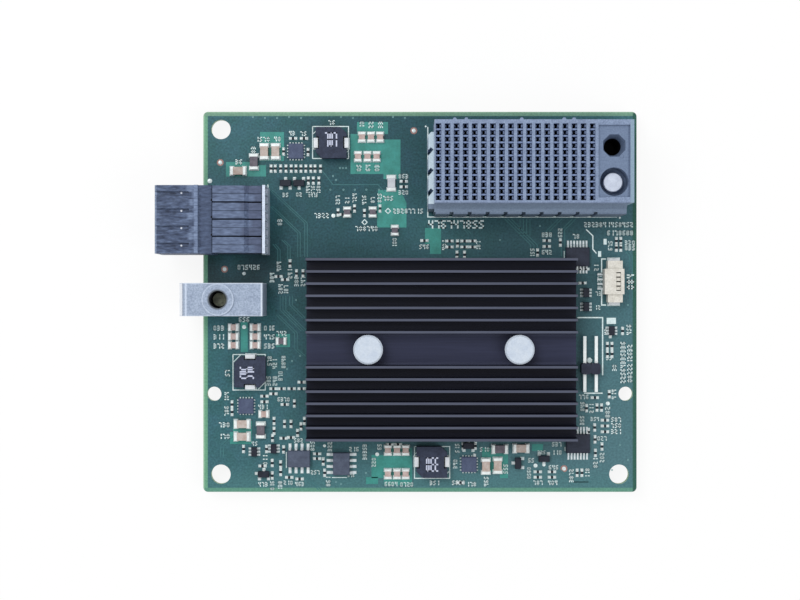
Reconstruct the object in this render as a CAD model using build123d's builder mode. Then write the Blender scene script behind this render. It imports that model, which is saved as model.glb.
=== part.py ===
from build123d import *

import math
import os

os.makedirs("parts", exist_ok=True)

# A mezzanine network card for a blade server. Lengths are millimetres.
# The card lies component side up, on the tips of its push pins. The origin is on the surface
# under it, at the middle of its whole length and width: X along the card, Y across it, Z up.

overrun = 1.0  # how far a cutting profile runs past the faces that it cuts
seat_gap = 0.05  # air between a part and the hole or pocket that it stands in
pass_gap = 0.2  # extra radius of a hole that a pin or a screw passes through

# Circuit board
board_length = 91.2
board_width = 80.0
board_thick = 1.6
board_corner_radius = 1.0
corner_hole_radius = 2.05
corner_hole_inset = 3.7
side_hole_radius = 1.5
side_hole_inset = 2.3
side_hole_y_share = -0.242

# Push pins that hold the heatsink
push_spacing = 31.2
push_head_radius = 3.05
push_head_thick = 1.2
push_head_round = 0.35
push_shaft_radius = 1.3
push_barb_radius = 1.75
push_tip_radius = 0.8
push_tip_drop = 3.0
push_split_width = 0.6
push_split_depth = 4.2
spring_wire_radius = 0.2
spring_turns = 2

# Rear connector, which plugs into the midplane past the board's left edge
rear_overhang = 8.5
rear_y_share = 0.21
rear_width = 13.9
rear_height = 13.0
rear_front_length = 11.6
rear_face_drop = 0.7
rear_ridge_start = 8.1
rear_ridge_length = 0.8
rear_ledge_drop = 1.0
rear_front_chamfer = 0.5
rear_pair_count = 4
rear_groove_width = 0.9
rear_groove_depth = 0.55
rear_groove_length = 7.0
rear_contact_rows = 4
rear_contact_size = 0.95
rear_contact_depth = 3.0
rear_contact_row_pitch = 2.6
rear_wafer_slit = 0.25
rear_wafer_gap = 0.08
rear_pair_gap = 0.3
rear_wafer_length = 9.9
rear_wafer_high_length = 6.4
rear_wafer_step = 0.9
rear_strip_gap = 0.15
rear_strip_thick = 0.6
rear_strip_drop = 0.5
rear_strip_bar = 0.45
rear_strip_head = 1.2
rear_strip_foot = 5.0
rear_tail_width = 0.4
rear_tail_rows = 2
rear_tail_pitch = 4.2
rear_tail_drop = 1.3
rear_tail_hole_radius = 0.36

# Guide block, which leads the card onto the midplane's pin
guide_length = 17.15
guide_width = 6.8
guide_height = 10.0
guide_overhang = 3.8
guide_y_share = 0.006
guide_end_chamfer = 0.8
guide_edge_chamfer = 0.2
guide_boss_radius = 3.35
guide_boss_height = 0.25
guide_screw_inset = 7.9
guide_screw_hole_radius = 1.8
guide_pin_hole_radius = 2.0
guide_pin_hole_depth = 5.2
guide_pin_hole_height = 5.0
guide_funnel_radius = 2.8
guide_peg_radius = 0.9
guide_peg_inset = 4.0

# Screws that come up through the board
screw_radius = 1.4
screw_head_radius = 2.7
screw_head_thick = 1.6
screw_head_edge = 0.4
screw_recess_size = 1.9
screw_recess_depth = 0.9
guide_screw_reach = 6.2

# Host connector, which stands on the component side and mates with the server board
host_x_share = 0.245
host_y_share = 0.342
host_height = 14.5
host_flange_length = 1.2
host_flange_drop = 3.4
host_flange_notch = 0.75
host_flange_notch_count = 4
host_flange_slope = 50.0
host_shoulder_width = 2.2
host_shoulder_drop = 2.6
host_shoulder_slope = 1.3
host_flute_width = 0.8
host_flute_depth = 0.45
host_bump_radius = 0.42
host_bump_shares = (-0.373, -0.317, -0.047, 0.16, 0.208)
cell_columns = 18
cell_rows = 12
column_pitch = 1.83
row_pitch = 1.32
cell_length = 1.15
cell_width = 0.98
grid_left_gap = 0.2
grid_panel_gap = 0.65
grid_low_gap = 0.49
grid_high_gap = 0.81
web_drop = 0.5
cell_depth = 3.6
contact_thick = 0.3
contact_drop = 0.3
contact_shift = 0.32

# Guide end of the host connector
panel_length = 6.4
panel_width = 14.6
panel_depth = 0.4
panel_inset = 0.8
funnel_half_width = 2.26
funnel_depth = 3.7
funnel_y_share = 0.216
socket_radius = 1.69
socket_depth = 9.0
recess_radius = 2.9
recess_depth = 4.0
recess_y_share = -0.285
guide_pin_radius = 1.98
guide_pin_drop = 2.0
guide_pin_chamfer = 0.15
guide_pin_tap_depth = 4.5

# Controller under the heatsink
controller_x_share = 0.053
controller_y_share = -0.123
substrate_side = 27.0
substrate_thick = 1.2
substrate_chamfer = 0.8
lid_side = 22.0
lid_thick = 0.9
lid_round = 1.5
pad_side = 19.0
pad_thick = 0.5

# Heatsink, an extrusion with its fins along the card
sink_x_share = 0.048
sink_length = 56.0
sink_base_thick = 2.2
fin_height = 3.6
fin_tip = 0.5
fin_root = 0.75
fin_pitch = 2.5
fins_per_side = 7
channel_span = 7.2

# Power inductors
inductor_length = 6.45
inductor_width = 6.5
inductor_height = 3.0
inductor_lift = 0.15
inductor_corner_cut = 1.3
clip_width = 2.05
clip_length = 0.85
clip_outset = 0.4
clip_pocket_gap = 0.25
clip_fold = 1.3
clip_rise = 2.3
inductor_shares = ((-0.204, 0.416, 0), (-0.390, -0.183, 90), (0.027, -0.419, 0))

# Leadless regulator chips
regulator_side = 3.2
regulator_thick = 0.9
regulator_edge = 0.15
regulator_shares = ((-0.286, 0.396, 0), (-0.401, -0.274, 0), (0.113, -0.427, 0))

# Leaded chips: two of eight leads, two of fourteen
lead_thick = 0.18
lead_foot = 0.6
chip_lift = 0.12
chip_edge = 0.15
eight_length = 4.7
eight_width = 3.5
eight_height = 1.5
eight_pitch = 1.27
eight_lead_width = 0.45
eight_reach = 1.3
eight_shares = ((-0.279, -0.412, 0), (-0.181, -0.425, 90))
fourteen_length = 5.0
fourteen_width = 4.0
fourteen_height = 1.0
fourteen_pitch = 0.65
fourteen_lead_width = 0.3
fourteen_reach = 1.4
fourteen_shares = ((0.363, 0.118, 0), (0.364, -0.372, 0))

# Small transistors with three leads, and small switches with six
small_length = 2.3
small_width = 1.3
small_height = 1.0
small_edge = 0.1
small_reach = 0.55
small_foot = 0.35
transistor_pitch = 1.9
transistor_lead_width = 0.4
transistor_shares = (
    (-0.310, 0.312, 0),
    (-0.279, 0.312, 180),
    (-0.360, -0.453, 0),
    (0.112, -0.378, 0),
    (0.226, -0.424, 90),
    (0.286, -0.412, 180),
)
switch_length = 1.9
switch_width = 1.2
switch_pitch = 0.65
switch_lead_width = 0.3
switch_shares = (
    (-0.382, -0.394, 90),
    (-0.337, -0.386, 90),
    (0.383, 0.024, 90),
    (0.383, -0.013, 90),
    (0.442, -0.076, 90),
)

# Ceramic chips in two sizes, with a metal cap on each end
large_length = 3.2
large_width = 1.6
large_height = 1.2
large_cap = 0.55
small_chip_length = 2.0
small_chip_width = 1.25
small_chip_height = 0.9
small_chip_cap = 0.45
cap_proud = 0.04
large_capacitor_shares = (
    (-0.419, 0.344, 0),
    (-0.359, 0.395, 90),
    (-0.333, 0.395, 90),
    (-0.410, -0.321, 0),
    (-0.410, -0.354, 0),
    (0.152, -0.432, 90),
    (0.179, -0.430, 90),
    (0.233, -0.385, 0),
)
small_capacitor_shares = (
    (-0.134, 0.433, 90),
    (-0.113, 0.433, 90),
    (-0.092, 0.433, 90),
    (-0.143, 0.382, 90),
    (-0.121, 0.382, 90),
    (-0.100, 0.382, 90),
    (-0.430, -0.067, 0),
    (-0.430, -0.091, 0),
    (-0.430, -0.114, 0),
    (-0.380, -0.067, 0),
    (-0.380, -0.091, 0),
    (-0.380, -0.114, 0),
    (-0.360, -0.295, 0),
    (-0.074, -0.390, 90),
    (-0.053, -0.390, 90),
    (-0.033, -0.390, 90),
    (-0.074, -0.452, 90),
    (-0.053, -0.452, 90),
    (-0.033, -0.452, 90),
)
large_bead_shares = ((-0.383, 0.368, 90), (0.184, -0.387, 0), (-0.367, -0.337, 90))
small_bead_shares = (
    (-0.168, 0.236, 90),
    (-0.109, 0.236, 90),
    (-0.058, 0.188, 90),
    (-0.320, -0.103, 0),
)
resistor_height = 0.6
resistor_shares = ((-0.066, 0.312, 90),)

# Four-way wire connector
wire_x_share = 0.444
wire_y_share = 0.053
wire_length = 4.1
wire_width = 5.3
wire_height = 3.8
wire_end_length = 3.1
wire_end_shift = 0.25
wire_end_width = 1.7
wire_end_height = 3.0
wire_slot_length = 1.0
wire_slot_depth = 2.6
wire_slot_wall = 0.7
wire_contact_count = 4
wire_contact_pitch = 1.0
wire_contact_width = 0.35
wire_contact_reach = 1.1
wire_tab_width = 0.5
wire_tab_length = 2.2
wire_tab_height = 1.4

# Two-pin right-angle header
header_x_share = 0.392
header_y_share = -0.175
header_pitch = 2.4
header_body_length = 4.0
header_body_width = 2.35
header_body_height = 2.5
header_body_notch = 0.5
header_pin_size = 0.64
header_pin_height = 1.25
header_pin_reach = 6.8
header_foot_reach = 4.9

# Levels, from the surface under the card
board_low = push_tip_drop
board_top = board_low + board_thick
sink_low = board_top + substrate_thick + lid_thick + pad_thick
sink_floor = sink_low + sink_base_thick
sink_top = sink_floor + fin_height
host_top = board_top + host_height
rear_top = board_top + rear_height

# Places along and across the card
board_x = rear_overhang / 2
board_left = board_x - board_length / 2
rear_front = board_left - rear_overhang
rear_y = rear_y_share * board_width
guide_y = guide_y_share * board_width
guide_left = board_left - guide_overhang
guide_screw_x = guide_left + guide_screw_inset
guide_peg_x = guide_left + guide_length - guide_peg_inset
controller_x = board_x + controller_x_share * board_length
controller_y = controller_y_share * board_width
sink_x = board_x + sink_x_share * board_length
grid_length = (cell_columns - 1) * column_pitch + cell_length
grid_width = (cell_rows - 1) * row_pitch + cell_width
host_length = host_flange_length + grid_left_gap + grid_length + grid_panel_gap + panel_length + panel_inset
host_width = host_shoulder_width + grid_low_gap + grid_width + grid_high_gap
host_x = board_x + host_x_share * board_length
host_y = host_y_share * board_width
host_left = host_x - host_length / 2
host_right = host_x + host_length / 2
host_low_y = host_y - host_width / 2
host_high_y = host_y + host_width / 2
host_end_x = host_right - panel_inset - panel_length / 2
host_end_y = (host_low_y + host_shoulder_width + host_high_y) / 2
funnel_y = host_end_y + funnel_y_share * panel_width
recess_y = host_end_y + recess_y_share * panel_width


def seats(place_shares):
    # Places on the board, with the turn of each about the vertical.
    return [
        Location((board_x + x * board_length, y * board_width, 0), (0, 0, turn))
        for x, y, turn in place_shares
    ]


def lead_planes(places, lead_places, body_width):
    # An upright plane for each lead of each chip: x runs out from the body's side and y runs up.
    planes = []
    for place in places:
        for along, side in lead_places:
            foot = Plane(place * Location((along, side * body_width / 2, board_top), (0, 0, side * 90)))
            planes.append(Plane(origin=foot.origin, x_dir=foot.x_dir, z_dir=-foot.y_dir))
    return planes


def even_row(count, pitch):
    # Offsets of a centred row.
    return [(index - (count - 1) / 2) * pitch for index in range(count)]


def gull_wing(reach, body_height):
    # Outline of a bent lead: it slopes down from half the body's height and runs out along the board.
    root = chip_lift + body_height / 2
    heel = reach - lead_foot
    return [
        (0, root),
        (heel, lead_thick),
        (reach, lead_thick),
        (reach, 0),
        (heel - lead_thick, 0),
        (0, root - lead_thick),
    ]


def short_lead(body_height):
    # Outline of a short lead with its solder: one slope from the body down to the toe.
    root = chip_lift + body_height / 2
    return [(0, root), (small_reach, 0), (small_reach - small_foot, 0), (0, root - lead_thick)]


def end_places(places, length, cap):
    # The two ends of each ceramic chip.
    half = (length - cap) / 2
    return [place * Location((end * half, 0, 0)) for place in places for end in (-1, 1)]


# Circuit board with its mounting holes and the holes that other pieces pass through
pair_pitch = rear_width / rear_pair_count
wafer_thick = (pair_pitch - rear_pair_gap - rear_wafer_gap) / 2
wafer_front = rear_front + rear_front_length + rear_wafer_slit
wafer_back = wafer_front + rear_wafer_length
wafer_ys = [
    rear_y + pair + side * (wafer_thick + rear_wafer_gap) / 2
    for pair in even_row(rear_pair_count, pair_pitch)
    for side in (-1, 1)
]
tail_mid_x = (wafer_front + wafer_back) / 2
tail_places = [
    (tail_mid_x + along, y) for y in wafer_ys for along in even_row(rear_tail_rows, rear_tail_pitch)
]
push_places = [(controller_x + side * push_spacing / 2, controller_y) for side in (-1, 1)]
corner_x = board_length / 2 - corner_hole_inset
corner_y = board_width / 2 - corner_hole_inset
corner_places = [(board_x - corner_x, corner_y), (board_x - corner_x, -corner_y), (board_x + corner_x, -corner_y)]
side_x = board_length / 2 - side_hole_inset
side_places = [(board_x + side * side_x, side_hole_y_share * board_width) for side in (-1, 1)]

with BuildPart() as pcb:
    with BuildSketch(Plane.XY.offset(board_low)):
        with Locations((board_x, 0)):
            RectangleRounded(board_length, board_width, board_corner_radius)
        with Locations(*corner_places):
            Circle(corner_hole_radius, mode=Mode.SUBTRACT)
        with Locations(*side_places):
            Circle(side_hole_radius, mode=Mode.SUBTRACT)
        with Locations(*push_places):
            Circle(push_shaft_radius + pass_gap, mode=Mode.SUBTRACT)
        with Locations((guide_screw_x, guide_y), (host_end_x, recess_y)):
            Circle(screw_radius + pass_gap, mode=Mode.SUBTRACT)
        with Locations((guide_peg_x, guide_y)):
            Circle(guide_peg_radius + seat_gap, mode=Mode.SUBTRACT)
        with Locations(*tail_places):
            RegularPolygon(rear_tail_hole_radius, 8, mode=Mode.SUBTRACT)
    extrude(amount=board_thick)

# Host connector housing: a block with a lower shoulder, a notched flange and a guide end.
# A long slot for each column meets a cross slot for each row, which leaves an open cell for each
# contact between tall ribs and lower webs, and a hollow under them for the contact strips.
grid_x = host_left + host_flange_length + grid_left_gap + grid_length / 2
grid_y = host_high_y - grid_high_gap - grid_width / 2
block_length = host_length - host_flange_length
block_width = host_width - host_shoulder_width
shoulder_edge_y = host_low_y + host_shoulder_width
shoulder_top = host_top - host_shoulder_drop
flange_top = host_top - host_flange_drop

with BuildPart() as host_housing:
    with BuildSketch(Plane.XY.offset(board_top)):
        with Locations((host_right, host_high_y)):
            Rectangle(block_length, block_width, align=(Align.MAX, Align.MAX))
        bump_places = [(host_x + share * host_length, host_high_y) for share in host_bump_shares]
        with Locations(*bump_places):
            RegularPolygon(host_bump_radius, 6)
    extrude(amount=host_height)
    with BuildSketch(Plane.YZ.offset(host_left + host_flange_length)):
        with BuildLine():
            Polyline(
                (shoulder_edge_y, board_top),
                (shoulder_edge_y, shoulder_top + host_shoulder_slope),
                (shoulder_edge_y - host_shoulder_width / 2, shoulder_top),
                (host_low_y, shoulder_top),
                (host_low_y, board_top),
                close=True,
            )
        make_face()
    extrude(amount=block_length - host_flange_length)
    with BuildSketch(Plane.XY.offset(board_top)):
        with Locations((host_left, host_high_y - host_shoulder_width)):
            Rectangle(host_flange_length, block_width - host_shoulder_width / 2, align=(Align.MIN, Align.MAX))
    extrude(amount=host_height - host_flange_drop)
    with BuildSketch(Plane.XY.offset(board_top)):
        with Locations((grid_x, host_low_y)):
            with GridLocations(2 * column_pitch, 0, cell_columns // 2 + 1, 1):
                Rectangle(host_flute_width, 2 * host_flute_depth)
        with Locations((host_left, grid_y)):
            with GridLocations(0, block_width / host_flange_notch_count, 1, host_flange_notch_count):
                Rectangle(2 * host_flange_length, host_flange_notch, rotation=host_flange_slope)
    extrude(amount=host_height - host_flange_drop + overrun, mode=Mode.SUBTRACT)
    with BuildSketch(Plane.XY.offset(host_top - panel_depth)):
        with Locations((host_end_x, host_end_y)):
            Rectangle(panel_length, panel_width)
    extrude(amount=panel_depth, mode=Mode.SUBTRACT)
    with BuildSketch(Plane.XY.offset(host_top - panel_depth - funnel_depth)):
        with Locations((host_end_x, funnel_y)):
            Circle(socket_radius)
    with BuildSketch(Plane.XY.offset(host_top - panel_depth)):
        with Locations((host_end_x, funnel_y)):
            RegularPolygon(funnel_half_width, 8, major_radius=False, rotation=180 / 8)
    loft(mode=Mode.SUBTRACT)
    with BuildSketch(Plane.XY.offset(host_top - panel_depth - funnel_depth)):
        with Locations((host_end_x, funnel_y)):
            Circle(socket_radius)
    extrude(amount=-socket_depth, mode=Mode.SUBTRACT)
    with BuildSketch(Plane.XY.offset(host_top - panel_depth)):
        with Locations((host_end_x, recess_y)):
            Circle(recess_radius)
    extrude(amount=-recess_depth, mode=Mode.SUBTRACT)
    with BuildSketch(Plane.XY.offset(host_top - panel_depth)):
        with Locations((host_end_x, recess_y)):
            Circle(guide_pin_radius + seat_gap)
    extrude(amount=-host_height, mode=Mode.SUBTRACT)
    with BuildSketch(Plane.XY.offset(board_top)):
        with Locations((grid_x, grid_y)):
            Rectangle(grid_length, grid_width)
    extrude(amount=host_height - cell_depth, mode=Mode.SUBTRACT)
    with BuildSketch(Plane.XY.offset(host_top - cell_depth)):
        with Locations((grid_x, grid_y)):
            with GridLocations(0, row_pitch, 1, cell_rows):
                Rectangle(grid_length, cell_width)
    extrude(amount=cell_depth - web_drop, mode=Mode.SUBTRACT)
    with BuildSketch(Plane.XY.offset(host_top - web_drop)):
        with Locations((grid_x, grid_y)):
            with GridLocations(column_pitch, 0, cell_columns, 1):
                Rectangle(cell_length, grid_width)
    extrude(amount=web_drop, mode=Mode.SUBTRACT)

# Host contacts: one upright strip for each column, standing on the board under the cells
with BuildPart() as host_contacts:
    with BuildSketch(Plane.XY.offset(board_top)):
        with Locations((grid_x - contact_shift, grid_y)):
            with GridLocations(column_pitch, 0, cell_columns, 1):
                Rectangle(contact_thick, grid_width - 2 * seat_gap)
    extrude(amount=host_height - cell_depth - contact_drop)

# Guide pin of the host connector, tapped from below, and its screw
with BuildPart() as host_guide_pin:
    with BuildSketch(Plane.XY.offset(board_top)):
        with Locations((host_end_x, recess_y)):
            Circle(guide_pin_radius)
    extrude(amount=host_height - panel_depth - guide_pin_drop)
    chamfer(host_guide_pin.faces().sort_by(Axis.Z)[-1].edges(), guide_pin_chamfer)
    with BuildSketch(Plane.XY.offset(board_top)):
        with Locations((host_end_x, recess_y)):
            Circle(screw_radius + seat_gap)
    extrude(amount=guide_pin_tap_depth, mode=Mode.SUBTRACT)


def screw_from_below(x, y, reach):
    # A round-headed screw whose head bears on the board's underside.
    with BuildSketch(Plane.XY.offset(board_low)) as shank:
        with Locations((x, y)):
            Circle(screw_radius)
    extrude(shank.sketch, amount=board_thick + reach)
    with BuildSketch(Plane.XY.offset(board_low)) as head:
        with Locations((x, y)):
            Circle(screw_head_radius)
    head_disc = extrude(head.sketch, amount=-screw_head_thick)
    chamfer(head_disc.faces().sort_by(Axis.Z)[0].edges(), screw_head_edge)
    with BuildSketch(Plane.XY.offset(board_low - screw_head_thick)) as recess:
        with Locations((x, y)):
            Rectangle(screw_recess_size, screw_recess_size / 4)
            Rectangle(screw_recess_size / 4, screw_recess_size)
    extrude(recess.sketch, amount=screw_recess_depth, mode=Mode.SUBTRACT)


with BuildPart() as host_guide_screw:
    screw_from_below(host_end_x, recess_y, guide_pin_tap_depth - screw_head_edge)

with BuildPart() as guide_screw:
    screw_from_below(guide_screw_x, guide_y, guide_screw_reach)

# Rear connector housing, with its ridge, ledge, grooves and mating cells
rear_face_top = rear_top - rear_face_drop
contact_columns = even_row(2 * rear_pair_count, pair_pitch / 2)
contact_mid_z = (board_top + rear_face_top) / 2
with BuildPart() as rear_housing:
    with BuildSketch(Plane.XZ.offset(-rear_y - rear_width / 2)):
        with BuildLine():
            Polyline(
                (rear_front, board_top),
                (rear_front, rear_face_top - rear_front_chamfer),
                (rear_front + rear_front_chamfer, rear_face_top),
                (rear_front + rear_ridge_start, rear_face_top),
                (rear_front + rear_ridge_start, rear_top),
                (rear_front + rear_ridge_start + rear_ridge_length, rear_top),
                (rear_front + rear_ridge_start + rear_ridge_length, rear_top - rear_ledge_drop),
                (rear_front + rear_front_length, rear_top - rear_ledge_drop),
                (rear_front + rear_front_length, board_top),
                close=True,
            )
        make_face()
    extrude(amount=rear_width)
    with BuildSketch(Plane.XY.offset(rear_face_top)):
        with Locations((rear_front, rear_y)):
            with GridLocations(0, pair_pitch, 1, rear_pair_count):
                Rectangle(rear_groove_length, rear_groove_width, align=(Align.MIN, Align.CENTER))
    extrude(amount=-rear_groove_depth, mode=Mode.SUBTRACT)
    with BuildSketch(Plane.YZ.offset(rear_front)):
        with Locations((rear_y, contact_mid_z)):
            with GridLocations(pair_pitch / 2, rear_contact_row_pitch, 2 * rear_pair_count, rear_contact_rows):
                Rectangle(rear_contact_size, rear_contact_size)
    extrude(amount=rear_contact_depth, mode=Mode.SUBTRACT)

# Rear connector wafers in pairs, stepped down towards the back
with BuildPart() as rear_wafers:
    for y in wafer_ys:
        with BuildSketch(Plane.XZ.offset(-y - wafer_thick / 2)):
            with BuildLine():
                Polyline(
                    (wafer_front, board_top),
                    (wafer_front, rear_top),
                    (wafer_front + rear_wafer_high_length, rear_top),
                    (wafer_front + rear_wafer_high_length + rear_wafer_step, rear_top - rear_wafer_step),
                    (wafer_back, rear_top - rear_wafer_step),
                    (wafer_back, board_top),
                    close=True,
                )
            make_face()
        extrude(amount=wafer_thick)

# Metal strip that keeps the wafers together, with a window behind each of them
strip_low = board_top + rear_strip_foot
strip_high = rear_top - rear_strip_drop
with BuildPart() as rear_strip:
    with BuildSketch(Plane.YZ.offset(wafer_back + rear_strip_gap)):
        with Locations((rear_y, board_top)):
            Rectangle(rear_width, strip_high - board_top, align=(Align.CENTER, Align.MIN))
        with Locations((rear_y, (strip_low + strip_high - rear_strip_head) / 2)):
            with GridLocations(pair_pitch / 2, 0, 2 * rear_pair_count, 1):
                Rectangle(
                    pair_pitch / 2 - rear_strip_bar,
                    strip_high - rear_strip_head - strip_low,
                    mode=Mode.SUBTRACT,
                )
    extrude(amount=rear_strip_thick)

# Press-fit tails of the rear connector
with BuildPart() as rear_tails:
    with BuildSketch(Plane.XY.offset(board_low - rear_tail_drop)):
        with Locations(*tail_places):
            Rectangle(rear_tail_width, rear_tail_width)
    extrude(amount=rear_tail_drop + board_thick)

# Guide block: a casting with a round boss, a screw hole, a funnelled pin hole and a locating peg
guide_top = board_top + guide_height
with BuildPart() as guide_block:
    with BuildSketch(Plane.XY.offset(board_top)):
        with Locations((guide_left, guide_y)):
            Rectangle(guide_length, guide_width, align=(Align.MIN, Align.CENTER))
    extrude(amount=guide_height)
    top_edges = guide_block.faces().sort_by(Axis.Z)[-1].edges().sort_by(Axis.X)
    chamfer(top_edges[0], guide_end_chamfer)
    chamfer(guide_block.faces().sort_by(Axis.Z)[-1].edges().sort_by(Axis.X)[-1], guide_edge_chamfer)
    with BuildSketch(Plane.XY.offset(guide_top)):
        with Locations((guide_screw_x, guide_y)):
            Circle(guide_boss_radius)
    extrude(amount=guide_boss_height)
    with BuildSketch(Plane.XY.offset(board_top)):
        with Locations((guide_screw_x, guide_y)):
            Circle(guide_screw_hole_radius)
    extrude(amount=guide_height + guide_boss_height, mode=Mode.SUBTRACT)
    with BuildSketch(Plane.XY.offset(board_top)):
        with Locations((guide_peg_x, guide_y)):
            Circle(guide_peg_radius)
    extrude(amount=-board_thick)
    mouth_depth = guide_funnel_radius - guide_pin_hole_radius
    with BuildSketch(Plane.XZ.offset(-guide_y)):
        with BuildLine():
            Polyline(
                (guide_left, board_top + guide_pin_hole_height),
                (guide_left, board_top + guide_pin_hole_height + guide_funnel_radius),
                (guide_left + mouth_depth, board_top + guide_pin_hole_height + guide_pin_hole_radius),
                (guide_left + guide_pin_hole_depth, board_top + guide_pin_hole_height + guide_pin_hole_radius),
                (guide_left + guide_pin_hole_depth, board_top + guide_pin_hole_height),
                close=True,
            )
        make_face()
    pin_axis = Axis((guide_left, guide_y, board_top + guide_pin_hole_height), (1, 0, 0))
    revolve(axis=pin_axis, mode=Mode.SUBTRACT)

# Controller: organic substrate with one cut corner, and a metal lid
with BuildPart() as controller_substrate:
    with BuildSketch(Plane.XY.offset(board_top)) as substrate_outline:
        with Locations((controller_x, controller_y)):
            Rectangle(substrate_side, substrate_side)
        chamfer(substrate_outline.vertices().group_by(Axis.X)[0].sort_by(Axis.Y)[-1], substrate_chamfer)
    extrude(amount=substrate_thick)

with BuildPart() as controller_lid:
    with BuildSketch(Plane.XY.offset(board_top + substrate_thick)):
        with Locations((controller_x, controller_y)):
            RectangleRounded(lid_side, lid_side, lid_round)
    extrude(amount=lid_thick)

with BuildPart() as thermal_pad:
    with BuildSketch(Plane.XY.offset(board_top + substrate_thick + lid_thick)):
        with Locations((controller_x, controller_y)):
            Rectangle(pad_side, pad_side)
    extrude(amount=pad_thick)

# Heatsink: base, two banks of tapered fins and a wide channel for the push pins
sink_width = channel_span + 2 * (fins_per_side - 1) * fin_pitch + fin_root
fin_offsets = [
    side * (channel_span / 2 + index * fin_pitch) for side in (-1, 1) for index in range(fins_per_side)
]
fin_angle = math.degrees(math.atan2(fin_height, (fin_root - fin_tip) / 2))
with BuildPart() as heatsink:
    with BuildSketch(Plane.YZ.offset(sink_x - sink_length / 2)):
        with Locations((controller_y, sink_low)):
            Rectangle(sink_width, sink_base_thick, align=(Align.CENTER, Align.MIN))
        with Locations(*[(controller_y + offset, sink_floor) for offset in fin_offsets]):
            Trapezoid(fin_root, fin_height, fin_angle, align=(Align.CENTER, Align.MIN))
    extrude(amount=sink_length)
    with BuildSketch(Plane.XY.offset(sink_low)):
        with Locations(*push_places):
            Circle(push_shaft_radius + pass_gap)
    extrude(amount=sink_base_thick, mode=Mode.SUBTRACT)

# Push pins: flat round heads on the springs, shafts through base and board, split barbs below
push_head_low = sink_top - push_head_thick
with BuildPart() as push_pins:
    for x, y in push_places:
        with BuildSketch(Plane.XZ.offset(-y)):
            with BuildLine():
                Polyline(
                    (x, 0),
                    (x + push_tip_radius, 0),
                    (x + push_barb_radius, board_low - seat_gap),
                    (x + push_shaft_radius, board_low - seat_gap),
                    (x + push_shaft_radius, push_head_low),
                    (x + push_head_radius, push_head_low),
                    (x + push_head_radius, sink_top - push_head_round),
                    (x + push_head_radius - push_head_round, sink_top),
                    (x, sink_top),
                    close=True,
                )
            make_face()
        revolve(axis=Axis((x, y, 0), (0, 0, 1)))
    with BuildSketch(Plane.XY):
        with Locations(*push_places):
            Rectangle(2 * push_barb_radius + overrun, push_split_width)
    extrude(amount=push_split_depth, mode=Mode.SUBTRACT)

# Coil springs between the heatsink's channel floor and the heads
spring_low = sink_floor + spring_wire_radius + seat_gap
spring_rise = push_head_low - sink_floor - 2 * (spring_wire_radius + seat_gap)
spring_radius = (push_shaft_radius + push_head_radius) / 2
with BuildPart() as push_pin_springs:
    for x, y in push_places:
        with BuildLine() as coil:
            Helix(spring_rise / spring_turns, spring_rise, spring_radius, center=(x, y, spring_low))
        with BuildSketch(Plane(origin=coil.line @ 0, z_dir=coil.line % 0)):
            RegularPolygon(spring_wire_radius, 4)
        sweep(path=coil.line, is_frenet=True)

# Power inductors: a core with two cut corners and a pocket in each end, where a clip stands
inductor_seats = seats(inductor_shares)
core_low = board_top + inductor_lift
core_x = inductor_length / 2
core_y = inductor_width / 2
clip_back = core_x + clip_outset - clip_length
pocket_x = clip_back - clip_pocket_gap
pocket_y = clip_width / 2 + clip_pocket_gap
with BuildPart() as inductor_cores:
    with BuildSketch(Plane.XY.offset(core_low)):
        with Locations(*inductor_seats):
            cut = inductor_corner_cut
            Polygon(
                (-core_x, core_y),
                (-core_x, pocket_y),
                (-pocket_x, pocket_y),
                (-pocket_x, -pocket_y),
                (-core_x, -pocket_y),
                (-core_x, cut - core_y),
                (cut - core_x, -core_y),
                (core_x, -core_y),
                (core_x, -pocket_y),
                (pocket_x, -pocket_y),
                (pocket_x, pocket_y),
                (core_x, pocket_y),
                (core_x, core_y - cut),
                (core_x - cut, core_y),
                align=None,
            )
    extrude(amount=inductor_height - inductor_lift)

clip_planes = []
for place in inductor_seats:
    for side in (0, 180):
        clip = Plane(place * Location((0, 0, board_top), (0, 0, side)))
        clip_planes.append(Plane(origin=clip.origin, x_dir=clip.x_dir, z_dir=-clip.y_dir))
with BuildPart() as inductor_clips:
    with BuildSketch(*clip_planes):
        with BuildLine():
            Polyline(
                (clip_back, clip_rise),
                (core_x + clip_outset, clip_rise),
                (core_x + clip_outset, 0),
                (core_x - clip_fold, 0),
                (core_x - clip_fold, inductor_lift),
                (clip_back, inductor_lift),
                close=True,
            )
        make_face()
    extrude(amount=clip_width / 2, both=True)

# Leadless regulator chips
with BuildPart() as regulator_chips:
    with BuildSketch(Plane.XY.offset(board_top)):
        with Locations(*seats(regulator_shares)):
            Rectangle(regulator_side, regulator_side)
    extrude(amount=regulator_thick)
    chamfer(regulator_chips.faces().group_by(Axis.Z)[-1].edges(), regulator_edge)


def chip_bodies(place_shares, length, width, height, edge):
    # Moulded bodies, lifted off the board on their leads, with softened top edges.
    with BuildSketch(Plane.XY.offset(board_top + chip_lift)) as outlines:
        with Locations(*seats(place_shares)):
            Rectangle(length, width)
    bodies = extrude(outlines.sketch, amount=height)
    chamfer(bodies.faces().group_by(Axis.Z)[-1].edges(), edge)


# Eight-lead chips
with BuildPart() as eight_lead_chips:
    chip_bodies(eight_shares, eight_length, eight_width, eight_height, chip_edge)

eight_rows = [(along, side) for side in (-1, 1) for along in even_row(4, eight_pitch)]
with BuildPart() as eight_lead_feet:
    with BuildSketch(*lead_planes(seats(eight_shares), eight_rows, eight_width)):
        with BuildLine():
            Polyline(*gull_wing(eight_reach, eight_height), close=True)
        make_face()
    extrude(amount=eight_lead_width / 2, both=True)

# Fourteen-lead chips
with BuildPart() as fourteen_lead_chips:
    chip_bodies(fourteen_shares, fourteen_length, fourteen_width, fourteen_height, chip_edge)

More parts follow.
